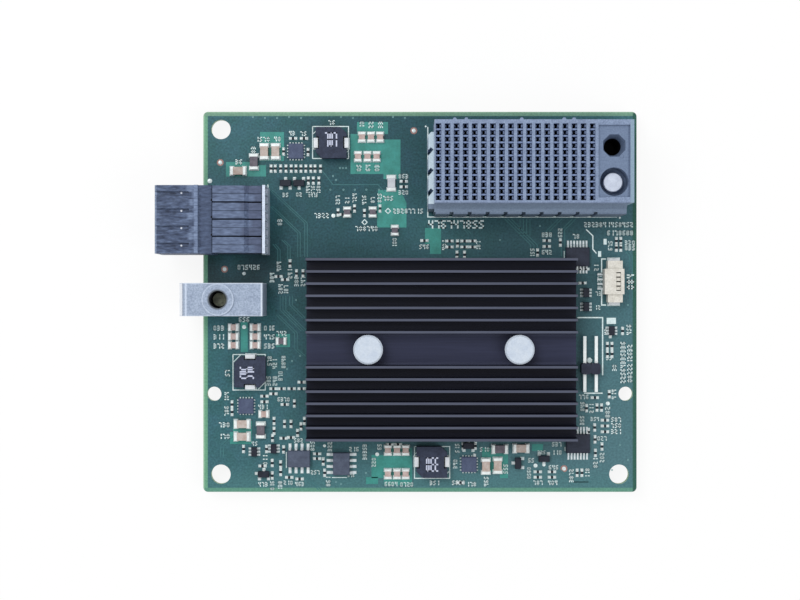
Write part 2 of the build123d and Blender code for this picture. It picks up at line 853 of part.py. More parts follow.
fourteen_rows = [(along, side) for side in (-1, 1) for along in even_row(7, fourteen_pitch)]
with BuildPart() as fourteen_lead_feet:
    with BuildSketch(*lead_planes(seats(fourteen_shares), fourteen_rows, fourteen_width)):
        with BuildLine():
            Polyline(*gull_wing(fourteen_reach, fourteen_height), close=True)
        make_face()
    extrude(amount=fourteen_lead_width / 2, both=True)

# Three-lead transistors: one lead on the far side, two on the near side
with BuildPart() as transistors:
    chip_bodies(transistor_shares, small_length, small_width, small_height, small_edge)

transistor_rows = [(0, 1), (-transistor_pitch / 2, -1), (transistor_pitch / 2, -1)]
with BuildPart() as transistor_leads:
    with BuildSketch(*lead_planes(seats(transistor_shares), transistor_rows, small_width)):
        with BuildLine():
            Polyline(*short_lead(small_height), close=True)
        make_face()
    extrude(amount=transistor_lead_width / 2, both=True)

# Six-lead switches
with BuildPart() as switch_chips:
    chip_bodies(switch_shares, switch_length, switch_width, small_height, small_edge)

switch_rows = [(along, side) for side in (-1, 1) for along in even_row(3, switch_pitch)]
with BuildPart() as switch_leads:
    with BuildSketch(*lead_planes(seats(switch_shares), switch_rows, switch_width)):
        with BuildLine():
            Polyline(*short_lead(small_height), close=True)
        make_face()
    extrude(amount=switch_lead_width / 2, both=True)


def ceramic_bodies(place_shares, length, width, height, cap):
    # The bare middle of each ceramic chip, between its end caps.
    with BuildSketch(Plane.XY.offset(board_top + cap_proud)) as outlines:
        with Locations(*seats(place_shares)):
            Rectangle(length - 2 * cap, width)
    extrude(outlines.sketch, amount=height)


def ceramic_caps(place_shares, length, width, height, cap):
    # Plated ends, a little proud of the body all round.
    with BuildSketch(Plane.XY.offset(board_top)) as outlines:
        with Locations(*end_places(seats(place_shares), length, cap)):
            Rectangle(cap, width + 2 * cap_proud)
    extrude(outlines.sketch, amount=height + 2 * cap_proud)


with BuildPart() as large_capacitors:
    ceramic_bodies(large_capacitor_shares, large_length, large_width, large_height, large_cap)

with BuildPart() as small_capacitors:
    ceramic_bodies(
        small_capacitor_shares, small_chip_length, small_chip_width, small_chip_height, small_chip_cap
    )

with BuildPart() as ferrite_beads:
    ceramic_bodies(large_bead_shares, large_length, large_width, large_height, large_cap)
    ceramic_bodies(small_bead_shares, small_chip_length, small_chip_width, small_chip_height, small_chip_cap)

with BuildPart() as sense_resistor:
    ceramic_bodies(resistor_shares, large_length, large_width, resistor_height, large_cap)

with BuildPart() as large_end_caps:
    ceramic_caps(
        large_capacitor_shares + large_bead_shares, large_length, large_width, large_height, large_cap
    )

with BuildPart() as small_end_caps:
    ceramic_caps(
        small_capacitor_shares + small_bead_shares,
        small_chip_length,
        small_chip_width,
        small_chip_height,
        small_chip_cap,
    )

with BuildPart() as resistor_end_caps:
    ceramic_caps(resistor_shares, large_length, large_width, resistor_height, large_cap)

# Four-way wire connector: housing with end blocks and a mating slot, contacts and solder tabs
wire_x = board_x + wire_x_share * board_length
wire_y = wire_y_share * board_width
wire_slot_width = wire_width - 2 * wire_slot_wall
with BuildPart() as wire_housing:
    with BuildSketch(Plane.XY.offset(board_top)):
        with Locations((wire_x, wire_y)):
            Rectangle(wire_length, wire_width)
    extrude(amount=wire_height)
    with BuildSketch(Plane.XY.offset(board_top)):
        with Locations((wire_x + wire_end_shift, wire_y)):
            Rectangle(wire_end_length, wire_width + 2 * wire_end_width)
    extrude(amount=wire_end_height)
    with BuildSketch(Plane.XY.offset(board_top + wire_height)):
        with Locations((wire_x + wire_length / 2 - wire_slot_wall, wire_y)):
            Rectangle(wire_slot_length, wire_slot_width, align=(Align.MAX, Align.CENTER))
    extrude(amount=-wire_slot_depth, mode=Mode.SUBTRACT)

with BuildPart() as wire_contacts:
    with BuildSketch(Plane.XY.offset(board_top)):
        with Locations((wire_x - wire_length / 2, wire_y)):
            with GridLocations(0, wire_contact_pitch, 1, wire_contact_count):
                Rectangle(wire_contact_reach, wire_contact_width, align=(Align.MAX, Align.CENTER))
    extrude(amount=lead_thick)

with BuildPart() as wire_tabs:
    with BuildSketch(Plane.XY.offset(board_top)):
        for side in (-1, 1):
            tab_y = wire_y + side * (wire_width / 2 + wire_end_width + wire_tab_width / 2)
            with Locations((wire_x + wire_end_shift, tab_y)):
                Rectangle(wire_tab_length, wire_tab_width)
    extrude(amount=wire_tab_height)

# Two-pin right-angle header: body with waisted sides, and two bent pins soldered through pads
header_x = board_x + header_x_share * board_length
header_y = header_y_share * board_width
pin_low = board_top + header_pin_height - header_pin_size / 2
pin_high = pin_low + header_pin_size
with BuildPart() as header_body:
    with BuildSketch(Plane.XY.offset(board_top)):
        with Locations((header_x, header_y)):
            Rectangle(header_body_length, header_body_width)
            with GridLocations(header_body_length / 2, header_body_width, 3, 2):
                Rectangle(header_body_notch, header_body_notch, rotation=45, mode=Mode.SUBTRACT)
    extrude(amount=header_body_height)
    with BuildSketch(Plane.XZ.offset(-header_y - header_body_width / 2)):
        with Locations((header_x, board_top + header_pin_height)):
            with GridLocations(header_pitch, 0, 2, 1):
                Rectangle(header_pin_size + 2 * seat_gap, header_pin_size + 2 * seat_gap)
    extrude(amount=header_body_width, mode=Mode.SUBTRACT)

with BuildPart() as header_pins:
    for side in (-1, 1):
        with BuildSketch(Plane.YZ.offset(header_x + side * header_pitch / 2 - header_pin_size / 2)):
            with BuildLine():
                Polyline(
                    (header_y + header_pin_reach, pin_low),
                    (header_y + header_pin_reach, pin_high),
                    (header_y - header_foot_reach, pin_high),
                    (header_y - header_foot_reach, board_top),
                    (header_y - header_foot_reach + header_pin_size, board_top),
                    (header_y - header_foot_reach + header_pin_size, pin_low),
                    close=True,
                )
            make_face()
        extrude(amount=header_pin_size)

pieces = {
    "pcb": pcb,
    "host_housing": host_housing,
    "host_contacts": host_contacts,
    "host_guide_pin": host_guide_pin,
    "host_guide_screw": host_guide_screw,
    "rear_housing": rear_housing,
    "rear_wafers": rear_wafers,
    "rear_strip": rear_strip,
    "rear_tails": rear_tails,
    "guide_block": guide_block,
    "guide_screw": guide_screw,
    "heatsink": heatsink,
    "push_pins": push_pins,
    "push_pin_springs": push_pin_springs,
    "controller_substrate": controller_substrate,
    "controller_lid": controller_lid,
    "thermal_pad": thermal_pad,
    "inductor_cores": inductor_cores,
    "inductor_clips": inductor_clips,
    "regulator_chips": regulator_chips,
    "eight_lead_chips": eight_lead_chips,
    "eight_lead_feet": eight_lead_feet,
    "fourteen_lead_chips": fourteen_lead_chips,
    "fourteen_lead_feet": fourteen_lead_feet,
    "transistors": transistors,
    "transistor_leads": transistor_leads,
    "switch_chips": switch_chips,
    "switch_leads": switch_leads,
    "large_capacitors": large_capacitors,
    "small_capacitors": small_capacitors,
    "ferrite_beads": ferrite_beads,
    "sense_resistor": sense_resistor,
    "large_end_caps": large_end_caps,
    "small_end_caps": small_end_caps,
    "resistor_end_caps": resistor_end_caps,
    "wire_housing": wire_housing,
    "wire_contacts": wire_contacts,
    "wire_tabs": wire_tabs,
    "header_body": header_body,
    "header_pins": header_pins,
}
for name, piece in pieces.items():
    piece.part.label = name
    export_step(piece.part, f"parts/{name}.step")
    print(name)
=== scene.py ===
# Mezzanine network card: finishes, board print, solder, small parts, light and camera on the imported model

import math
import random
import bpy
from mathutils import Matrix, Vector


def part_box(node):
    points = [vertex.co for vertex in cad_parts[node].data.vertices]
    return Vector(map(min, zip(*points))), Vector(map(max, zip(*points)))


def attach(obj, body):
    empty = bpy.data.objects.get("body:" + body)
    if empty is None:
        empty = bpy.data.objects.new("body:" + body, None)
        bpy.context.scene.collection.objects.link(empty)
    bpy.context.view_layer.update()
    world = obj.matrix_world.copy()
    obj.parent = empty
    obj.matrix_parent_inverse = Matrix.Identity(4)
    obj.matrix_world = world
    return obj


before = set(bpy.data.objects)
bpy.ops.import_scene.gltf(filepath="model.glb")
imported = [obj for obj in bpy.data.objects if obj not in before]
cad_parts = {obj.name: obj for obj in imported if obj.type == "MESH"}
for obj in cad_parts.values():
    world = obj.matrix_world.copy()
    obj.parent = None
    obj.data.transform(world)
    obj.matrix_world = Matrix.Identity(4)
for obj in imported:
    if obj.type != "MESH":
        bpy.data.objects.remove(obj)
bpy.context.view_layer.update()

from types import SimpleNamespace

import bmesh
import bpy

mm = 0.001
dice = random.Random(41)

# How the photograph's pixels lie on the card: it was taken from straight above
photo = {
    "pxPerMm": 4.75,
    "rowX": 399.76,  # pixel column of the frame's x = 0
    "rowY": 301.85,
    "middleX": 400,
    "middleY": 300,
    "eyeHigh": 350,  # millimetres from the board to the eye
}
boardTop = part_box("pcb")[1][2] / mm
# How far each layer of the board stands proud, and how wide a trace is
ink = {"copper": 0.012, "trace": 0.016, "silk": 0.03, "traceWidth": 0.17}


def fromPhoto(px, py, high=0):
    # Millimetres on the card of something that shows at a pixel, high above the board
    shrink = 1 - high / photo["eyeHigh"]
    x = photo["middleX"] + (px - photo["middleX"]) * shrink - photo["rowX"]
    y = photo["middleY"] + (py - photo["middleY"]) * shrink - photo["rowY"]
    return x / photo["pxPerMm"], -y / photo["pxPerMm"]


def srgb(red, green, blue):
    def linear(value):
        value /= 255
        return value / 12.92 if value <= 0.04045 else ((value + 0.055) / 1.055) ** 2.4
    return linear(red), linear(green), linear(blue), 1


def edges(node):
    # A node's box in plain millimetres
    low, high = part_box(node)
    left, right, front, back, bottom, top = [value / mm for pair in zip(low, high) for value in pair]
    return SimpleNamespace(left=left, right=right, front=front, back=back, bottom=bottom, top=top)


# Mesh helpers, all in millimetres

def addPoint(mesh, x, y, z):
    return mesh.verts.new((x * mm, y * mm, z * mm))


def swung(x, y, dx, dy, turn):
    # The point (dx, dy) away from (x, y), after a turn in degrees
    spin = math.radians(turn)
    return x + dx * math.cos(spin) - dy * math.sin(spin), y + dx * math.sin(spin) + dy * math.cos(spin)


def cornersOf(x, y, length, width, turn=0):
    return [swung(x, y, sideX * length / 2, sideY * width / 2, turn)
            for sideX, sideY in ((-1, -1), (1, -1), (1, 1), (-1, 1))]


def closeRings(mesh, rings):
    mesh.faces.new(list(reversed(rings[0])))
    mesh.faces.new(rings[-1])
    for lower, upper in zip(rings, rings[1:]):
        for index in range(len(lower)):
            after = (index + 1) % len(lower)
            mesh.faces.new((lower[index], lower[after], upper[after], upper[index]))


def addSlab(mesh, x, y, low, high, length, width, turn=0, ease=0):
    # A block with eased top edges
    levels = [(low, 0), (high - ease, 0), (high, ease)] if ease else [(low, 0), (high, 0)]
    closeRings(mesh, [[addPoint(mesh, *corner, z)
                       for corner in cornersOf(x, y, length - 2 * inset, width - 2 * inset, turn)]
                      for z, inset in levels])


def addTurned(mesh, x, y, profile, sides=20):
    # A round solid on the board from (radius, height) pairs, lowest first
    closeRings(mesh, [[addPoint(mesh, *swung(x, y, radius, 0, 360 * step / sides), boardTop + z)
                       for step in range(sides)] for radius, z in profile])


def addStrip(mesh, pairs):
    for (a, b), (c, d) in zip(pairs, pairs[1:]):
        mesh.faces.new((a, b, d, c))


def addRing(mesh, x, y, z, inner, outer, sides=28):
    # A flat ring
    turns = [360 * step / sides for step in range(sides + 1)]
    addStrip(mesh, [[addPoint(mesh, *swung(x, y, radius, 0, turn), z) for radius in (inner, outer)]
                    for turn in turns])


def addPatch(mesh, points, z):
    # A flat area from its corners, in order
    face = mesh.faces.new([addPoint(mesh, *point, z) for point in points])
    face.normal_update()
    if face.normal.z < 0:
        face.normal_flip()


def addRibbon(mesh, points, width, z, sharpest=0.3):
    # A flat line with mitred bends; sharpest keeps the mitre of a tight bend short
    pairs = []
    for index, (x, y) in enumerate(points):
        before = points[max(index - 1, 0)]
        after = points[min(index + 1, len(points) - 1)]
        inward = (x - before[0], y - before[1]) if index else (after[0] - x, after[1] - y)
        outward = (after[0] - x, after[1] - y) if index < len(points) - 1 else inward
        first = math.atan2(inward[1], inward[0])
        bend = math.remainder(math.atan2(outward[1], outward[0]) - first, 2 * math.pi)
        angle = first + bend / 2 + math.pi / 2
        reach = width / 2 / max(math.cos(bend / 2), sharpest)
        dx, dy = reach * math.cos(angle), reach * math.sin(angle)
        pairs.append([addPoint(mesh, x + side * dx, y + side * dy, z) for side in (1, -1)])
    addStrip(mesh, pairs)


def addObject(name, mesh, material):
    data = bpy.data.meshes.new(name)
    mesh.to_mesh(data)
    mesh.free()
    data.materials.append(material)
    thing = bpy.data.objects.new(name, data)
    bpy.context.scene.collection.objects.link(thing)
    return thing


def makePiece(name, mesh, finish, smooth=0):
    # The finished mesh as an object on the card's body; smooth is the angle under which edges are soft
    piece = addObject(name, mesh, finishes[finish])
    if smooth:
        piece.data.polygons.foreach_set("use_smooth", [True] * len(piece.data.polygons))
        piece.data.set_sharp_from_angle(angle=math.radians(smooth))
    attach(piece, "root")


# Node helpers

def addNode(tree, kind, settings=None, *ordered, **named):
    # Each input is a plain value or another node's socket
    node = tree.nodes.new("ShaderNode" + kind)
    for setting, value in (settings or {}).items():
        setattr(node, setting, value)
    for label, value in (*enumerate(ordered), *named.items()):
        if isinstance(value, bpy.types.NodeSocket):
            tree.links.new(value, node.inputs[label])
        else:
            node.inputs[label].default_value = value
    return node


def compute(tree, operation, *values, clamp=False):
    settings = {"operation": operation, "use_clamp": clamp}
    return addNode(tree, "Math", settings, *values).outputs["Value"]


def computeVector(tree, operation, *values, result="Vector"):
    return addNode(tree, "VectorMath", {"operation": operation}, *values).outputs[result]


def mixColors(tree, factor, first, second, way="MIX"):
    settings = {"data_type": "RGBA", "blend_type": way}
    return addNode(tree, "Mix", settings, Factor=factor, A=first, B=second).outputs["Result"]


# Node groups that several finishes share

def startGroup(name, result, kind, **inputs):
    # A group with one output; an input's kind follows from its first value
    group = bpy.data.node_groups.new(name, "ShaderNodeTree")
    for label, value in inputs.items():
        inputKind = {3: "Vector", 4: "Color"}[len(value)] if isinstance(value, tuple) else "Float"
        socket = group.interface.new_socket(label, in_out="INPUT", socket_type="NodeSocket" + inputKind)
        socket.default_value = value
    group.interface.new_socket(result, in_out="OUTPUT", socket_type="NodeSocket" + kind)
    entry = group.nodes.new("NodeGroupInput").outputs
    leave = group.nodes.new("NodeGroupOutput").inputs[result]
    place = addNode(group, "TexCoord").outputs["Object"]
    return group, entry, leave, place


def addNoise(group, entry, place, scale, **values):
    # Noise in the object's coordinates, drawn out along the card where Stretch is under 1
    axes = addNode(group, "CombineXYZ", X=entry["Stretch"], Y=1, Z=1)
    pulled = computeVector(group, "MULTIPLY", place, axes.outputs["Vector"])
    return addNode(group, "TexNoise", Vector=pulled, Scale=entry[scale], **values).outputs["Fac"]


def cloudyTone():
    # Two tones in soft clouds with a finer speckle over them
    group, entry, leave, place = startGroup(
        "cloudyTone", "Color", "Color", Tone=(0.5, 0.5, 0.5, 1), Second=(0.4, 0.4, 0.4, 1), Scale=200,
        Speckle=0.1, Fine=3200, Stretch=1)
    cloud = addNoise(group, entry, place, "Scale", Detail=4, Roughness=0.6)
    spread = addNode(group, "MapRange", Value=cloud, **{"From Min": 0.35, "From Max": 0.65})
    blend = mixColors(group, spread.outputs["Result"], entry["Tone"], entry["Second"])
    lift = compute(group, "SUBTRACT", addNoise(group, entry, place, "Fine", Detail=2), 0.5)
    size = compute(group, "MULTIPLY_ADD", lift, entry["Speckle"], 1)
    tint = addNode(group, "VectorMath", {"operation": "SCALE"}, Vector=blend, Scale=size)
    group.links.new(tint.outputs["Vector"], leave)
    return group


def fineGrain():
    # Height of a fine moulded or cast grain
    group, entry, leave, place = startGroup("fineGrain", "Height", "Float", Scale=2500, Stretch=1)
    group.links.new(addNoise(group, entry, place, "Scale", Detail=3), leave)
    return group


def softWindow(name, reach, **inputs):
    # 1 where the reach is between Start and End, with soft ends; all in metres
    group, entry, leave, place = startGroup(
        name, "Mask", "Float", **inputs, Start=0, End=0.01, Soft=0.0001, Strength=1)
    value = reach(group, entry, place)
    sides = [compute(group, "DIVIDE", compute(group, "SUBTRACT", *pair), entry["Soft"], clamp=True)
             for pair in ((value, entry["Start"]), (entry["End"], value))]
    mask = compute(group, "MULTIPLY", compute(group, "MULTIPLY", *sides), entry["Strength"])
    group.links.new(mask, leave)
    return group


def alongAxis(group, entry, place):
    return computeVector(group, "DOT_PRODUCT", place, entry["Axis"], result="Value")


def fromMiddle(group, entry, place):
    flat = computeVector(group, "MULTIPLY", place, (1, 1, 0))
    return computeVector(group, "DISTANCE", flat, entry["Middle"], result="Value")


cloudyToneGroup = cloudyTone()
fineGrainGroup = fineGrain()
bandMaskGroup = softWindow("bandMask", alongAxis, Axis=(1, 0, 0))
ringMaskGroup = softWindow("ringMask", fromMiddle, Middle=(0, 0, 0))


def placeGroup(tree, group, **values):
    return addNode(tree, "Group", {"node_tree": group}, **values).outputs[0]


# Masks of the regions: a band along an axis, a ring round an upright line and the way that a surface looks

def bandAlong(*axis):
    def band(tree, start, end, soft=0.1, strength=1):
        return placeGroup(tree, bandMaskGroup, Axis=axis, Start=start * mm, End=end * mm, Soft=soft * mm,
                          Strength=strength)
    return band


alongX = bandAlong(1, 0, 0)
alongY = bandAlong(0, 1, 0)
upright = bandAlong(0, 0, 1)


def ring(tree, x, y, inner, outer, soft=0.1, strength=1):
    return placeGroup(tree, ringMaskGroup, Middle=(x * mm, y * mm, 0), Start=inner * mm, End=outer * mm,
                      Soft=soft * mm, Strength=strength)


def facing(tree, upwards):
    # Where the surface looks up or down, or where it looks sideways
    normal = addNode(tree, "NewGeometry").outputs["Normal"]
    turned = addNode(tree, "SeparateXYZ", Vector=normal)
    size = compute(tree, "ABSOLUTE", turned.outputs["Z"])
    return compute(tree, "GREATER_THAN" if upwards else "LESS_THAN", size, 0.5)


def plainFinish(name, look, regions):
    # A finish from its dictionary: clouded colour, grain in the relief and in the gloss, then its regions
    material = bpy.data.materials.new(name)
    material.use_nodes = True
    tree = material.node_tree
    shader = tree.nodes["Principled BSDF"].inputs
    shader["Roughness"].default_value = look["roughness"]
    shader["Metallic"].default_value = look["metallic"]
    shader["Specular IOR Level"].default_value = look["specular"]
    stretch = look["stretch"]
    tone, second = [srgb(*shade) for shade in look["tones"]]
    color = placeGroup(tree, cloudyToneGroup, Tone=tone, Second=second, Scale=look["cloud"],
                       Speckle=look["speckle"], Fine=look["fine"], Stretch=stretch)
    for shade, first, *others in regions:
        mask = first[0](tree, *first[1:])
        for other in others:
            mask = compute(tree, "MULTIPLY", mask, other[0](tree, *other[1:]))
        color = mixColors(tree, mask, color, srgb(*shade))
    if regions:
        # The speckle runs over the regions too
        over = placeGroup(tree, fineGrainGroup, Scale=look["fine"], Stretch=stretch)
        color = mixColors(tree, look["speckle"], color, over, "SOFT_LIGHT")
    tree.links.new(color, shader["Base Color"])
    grain = placeGroup(tree, fineGrainGroup, Scale=look["grain"], Stretch=stretch)
    bump = addNode(tree, "Bump", Strength=look["relief"], Distance=look["reliefDepth"],
                   Height=grain)
    tree.links.new(bump.outputs["Normal"], shader["Normal"])
    gloss = addNode(tree, "MapRange", Value=grain, **{
        "To Min": look["roughness"] - look["glossSpread"], "To Max": look["roughness"] + look["glossSpread"]})
    tree.links.new(gloss.outputs["Result"], shader["Roughness"])
    return material


print("helpers ready")

# Finishes: tones in screen colours, and cloud, fine and grain as noise scales per metre. A row says only what
# differs from plainLook
plainLook = {
    "cloud": 900, "speckle": 0.5, "fine": 3200, "roughness": 0.5, "metallic": 0, "specular": 0.4,
    "grain": 2600, "relief": 0.2, "stretch": 1, "glossSpread": 0.08, "reliefDepth": 0.00005,
}
looks = {
    "hostPlastic": {"tones": ((132, 149, 178), (118, 134, 163)), "cloud": 700, "speckle": 0.45,
        "roughness": 0.6, "specular": 0.3, "relief": 0.5},
    "rearPlastic": {"tones": ((86, 101, 130), (56, 68, 94)), "cloud": 1500, "speckle": 0.8, "fine": 2600,
        "roughness": 0.55, "specular": 0.25, "grain": 1500, "relief": 0.7, "stretch": 0.3},
    "waferPlastic": {"tones": ((98, 113, 142), (84, 98, 126)), "cloud": 1200, "speckle": 0.6, "fine": 2600,
        "roughness": 0.55, "specular": 0.25, "grain": 1500, "relief": 0.5, "stretch": 0.3},
    "contactMetal": {"tones": ((124, 140, 170), (104, 120, 152)), "speckle": 0.2, "metallic": 0.1,
        "grain": 3000, "relief": 0.1},
    "pinMetal": {"tones": ((210, 218, 233), (198, 206, 223)), "speckle": 0.3, "metallic": 0.5, "relief": 0.4},
    "screwSteel": {"tones": ((176, 180, 184), (150, 154, 160)), "cloud": 700, "speckle": 0.1,
        "roughness": 0.32, "metallic": 1, "grain": 3000},
    # The guide screw: brass, darkened with painted shade for the bottom of its bore
    "shadeDarkenedBrass": {"tones": ((112, 116, 98), (66, 70, 60)), "roughness": 0.45, "metallic": 0.4, "grain": 2400,
        "relief": 0.5},
    "stripMetal": {"tones": ((200, 210, 226), (180, 192, 210)), "speckle": 0.3, "roughness": 0.45,
        "metallic": 0.4, "grain": 2400, "relief": 0.3},
    "tailMetal": {"tones": ((196, 192, 178), (170, 166, 152)), "speckle": 0.1, "roughness": 0.35,
        "metallic": 1, "grain": 3000, "relief": 0.1},
    "castMetal": {"tones": ((154, 168, 189), (143, 157, 179)), "cloud": 600, "metallic": 0.3, "relief": 0.6},
    "blackAnodised": {"tones": ((19, 22, 40), (13, 16, 33)), "cloud": 240, "speckle": 0.35, "fine": 2600,
        "roughness": 0.4, "specular": 0.16, "grain": 2200, "relief": 0.3, "stretch": 0.03},
    "whiteNylon": {"tones": ((202, 212, 224), (190, 202, 218)), "cloud": 600, "speckle": 0.25,
        "roughness": 0.6, "specular": 0.3, "relief": 0.45},
    "springSteel": {"tones": ((170, 174, 180), (140, 146, 154)), "speckle": 0.1, "roughness": 0.3,
        "metallic": 1, "relief": 0.1},
    "substrate": {"tones": ((60, 104, 84), (48, 90, 74)), "cloud": 300, "speckle": 0.15, "roughness": 0.45,
        "grain": 2400},
    "lidMetal": {"tones": ((170, 174, 180), (156, 160, 168)), "cloud": 300, "speckle": 0.1, "roughness": 0.4,
        "metallic": 1, "grain": 2400},
    "padRubber": {"tones": ((150, 154, 160), (138, 142, 150)), "cloud": 400, "speckle": 0.2,
        "roughness": 0.85, "grain": 2000, "relief": 0.4},
    "inductorBody": {"tones": ((53, 61, 82), (42, 49, 68)), "speckle": 0.8, "roughness": 0.6,
        "specular": 0.25, "grain": 2200, "relief": 0.8},
    "solderPlate": {"tones": ((224, 228, 232), (206, 212, 218)), "speckle": 0.2, "roughness": 0.4,
        "metallic": 0.2, "grain": 2400, "relief": 0.4},
    "regulatorBody": {"tones": ((80, 91, 118), (68, 78, 106)), "cloud": 700, "specular": 0.25, "relief": 0.5},
    "chipBody": {"tones": ((84, 94, 114), (70, 78, 97)), "cloud": 700, "speckle": 0.6, "roughness": 0.55,
        "specular": 0.25, "relief": 0.6},
    "wideChipBody": {"tones": ((46, 52, 68), (38, 43, 58)), "cloud": 700, "roughness": 0.55,
        "specular": 0.25, "relief": 0.6},
    "smallChipBody": {"tones": ((34, 40, 54), (26, 31, 44)), "specular": 0.25, "relief": 0.4},
    "leadPlate": {"tones": ((230, 238, 240), (210, 220, 226)), "speckle": 0.2, "roughness": 0.4,
        "metallic": 0.2, "grain": 2400},
    "tanCeramic": {"tones": ((194, 184, 178), (176, 158, 148)), "speckle": 0.4, "specular": 0.3,
        "relief": 0.25},
    "brownCeramic": {"tones": ((194, 176, 172), (178, 154, 148)), "speckle": 0.4, "specular": 0.3,
        "relief": 0.25},
    "darkCeramic": {"tones": ((112, 106, 116), (92, 88, 98)), "specular": 0.25, "relief": 0.3},
    "tinyCeramic": {"tones": ((34, 44, 54), (26, 34, 42)), "speckle": 0.3, "specular": 0.2, "relief": 0.3},
    "resistorBody": {"tones": ((204, 208, 214), (188, 193, 200)), "speckle": 0.3, "roughness": 0.4},
    "endPlate": {"tones": ((236, 242, 242), (214, 222, 222)), "cloud": 1400, "speckle": 0.3,
        "roughness": 0.45, "metallic": 0.2, "grain": 2400, "relief": 0.5},
    "creamPlastic": {"tones": ((222, 220, 212), (206, 203, 194)), "cloud": 1100, "specular": 0.3,
        "grain": 2400, "relief": 0.5},
    "headerPlastic": {"tones": ((44, 50, 68), (34, 38, 56)), "specular": 0.25, "relief": 0.4},
    "pinPlate": {"tones": ((244, 250, 250), (228, 236, 238)), "speckle": 0.1, "roughness": 0.35,
        "metallic": 0.2, "relief": 0.1},
    "silkInk": {"tones": ((232, 246, 246), (206, 228, 230)), "cloud": 1400, "speckle": 0.4, "roughness": 0.6,
        "specular": 0.3},
    "maskedCopper": {"tones": ((62, 148, 140), (52, 130, 122)), "cloud": 420, "speckle": 0.35,
        "roughness": 0.4, "specular": 0.3, "grain": 2200},
    "maskedTrace": {"tones": ((62, 116, 120), (50, 102, 108)), "cloud": 500, "speckle": 0.2,
        "roughness": 0.4, "specular": 0.3, "grain": 2200, "relief": 0.1},
    "solderTin": {"tones": ((224, 236, 236), (200, 214, 216)), "cloud": 1200, "speckle": 0.25,
        "roughness": 0.35, "metallic": 0.15, "relief": 0.3},
    "bareRing": {"tones": ((170, 128, 120), (146, 110, 104)), "speckle": 0.15, "roughness": 0.45},
    "viaTin": {"tones": ((120, 162, 164), (96, 140, 144)), "cloud": 1200, "speckle": 0.25, "roughness": 0.4,
        "specular": 0.3},
    "markInk": {"tones": ((206, 212, 232), (184, 192, 216)), "cloud": 1400, "speckle": 0.3, "roughness": 0.6,
        "specular": 0.3},
    "boardMask": {"tones": ((54, 99, 110), (46, 94, 98)), "cloud": 260, "fine": 2400, "roughness": 0.38,
        "specular": 0.2, "grain": 1400, "relief": 0.25},
}

# Regions of a finish, in the order in which they are laid: a colour, then masks that are multiplied. A band
# or ring says where it starts and ends, how soft its ends are (all in millimetres) and how strong it is
far = 200  # beyond every edge

hostBox = edges("host_housing")
host = {
    "flange": 1.3, "shoulder": 2.2,
    "panelInset": 0.8, "panelLength": 6.4, "panelWidth": 14.6, "panelShift": 0.18,
    "flangeHighlight": (204, 222, 232), "shoulderTone": (108, 124, 145), "shoulderDark": (80, 94, 114),
    "panelTone": (108, 125, 153), "rimTone": (134, 158, 178), "edgeShade": (74, 90, 116),
    "cellTone": (126, 148, 196), "socketShade": (3, 4, 10), "socket": (43.35, 31.61), "socketRadius": 1.74,
    "dent": (622, 156),
}
panelRight = hostBox.right - host["panelInset"]
panelLeft = panelRight - host["panelLength"]
shoulderEdge = hostBox.front + host["shoulder"]
panelMiddle = (shoulderEdge + hostBox.back) / 2 - host["panelShift"]
panelFront = panelMiddle - host["panelWidth"] / 2
panelBack = panelMiddle + host["panelWidth"] / 2
inPanel = (alongX, panelLeft, panelRight, 0.05), (alongY, panelFront, panelBack, 0.05)
inGrid = ((alongX, hostBox.left + host["flange"] + 0.1, panelLeft - 0.3, 0.02),
          (alongY, shoulderEdge + 0.3, hostBox.back - 0.7, 0.02))
hostRegions = [
    # Painted highlight on the top of the left flange
    (host["flangeHighlight"], (facing, True), (alongX, hostBox.left - 1, hostBox.left + host["flange"], 0.3)),
    (host["rimTone"], (alongX, panelRight, far)),
    (host["panelTone"], *inPanel),
    # Painted shade along the panel's right and back edges
    (host["edgeShade"], *inPanel, (alongX, panelRight - 0.45, panelRight, 0.2, 0.6)),
    (host["edgeShade"], *inPanel, (alongY, panelBack - 0.5, far, 0.3, 0.4)),
    (host["shoulderTone"], (alongY, -far, shoulderEdge - 0.02)),
    (host["shoulderDark"], (alongY, -far, hostBox.front + 0.5, 0.5, 0.6)),
    (host["cellTone"], *inGrid, (upright, -far, hostBox.top - 0.2, 0.8)),
    # A black disc of painted shade in the deep guide socket
    (host["socketShade"], (ring, *host["socket"], -1, host["socketRadius"], 0.02)),
    # Painted shade in the ring of a small dent in the panel
    (host["edgeShade"], (ring, *fromPhoto(*host["dent"], hostBox.top - boardTop), 0.3, 0.52, 0.1, 0.6)),
]

# The rear connector's light rows, its dark band and the painted shade on its wafers' backs, as pixel columns,
# and its spots
rearBox = edges("rear_housing")
rear = {
    "faceHigh": 12.3, "lightStarts": (191, 193, 187, 190, 193, 186, 192, 188, 191, 185),
    "darkBand": (200, 211.7), "waferBack": (252, 243, 240, 250, 246, 238, 252, 242),
    "lightTone": (124, 141, 172), "darkTone": (72, 86, 114),
    "frontTone": (140, 156, 182), "waferBackShade": (76, 86, 112), "waferLowShade": (40, 46, 62),
    "spots": ((181, (192.8, 210.7, 228, 245.5), 0.24, (226, 232, 242)),
              (211.7, (199.9, 216.9, 234.7), 0.3, (8, 10, 20))),
}


def rearX(px):
    return fromPhoto(px, 0, rear["faceHigh"])[0]


def rearRows(columns, soft):
    # Equal rows across the connector, one for each pixel column
    pitch = (rearBox.back - rearBox.front) / len(columns)
    for index, px in enumerate(columns):
        front = rearBox.front + index * pitch
        yield (alongY, front, front + pitch, soft), rearX(px)


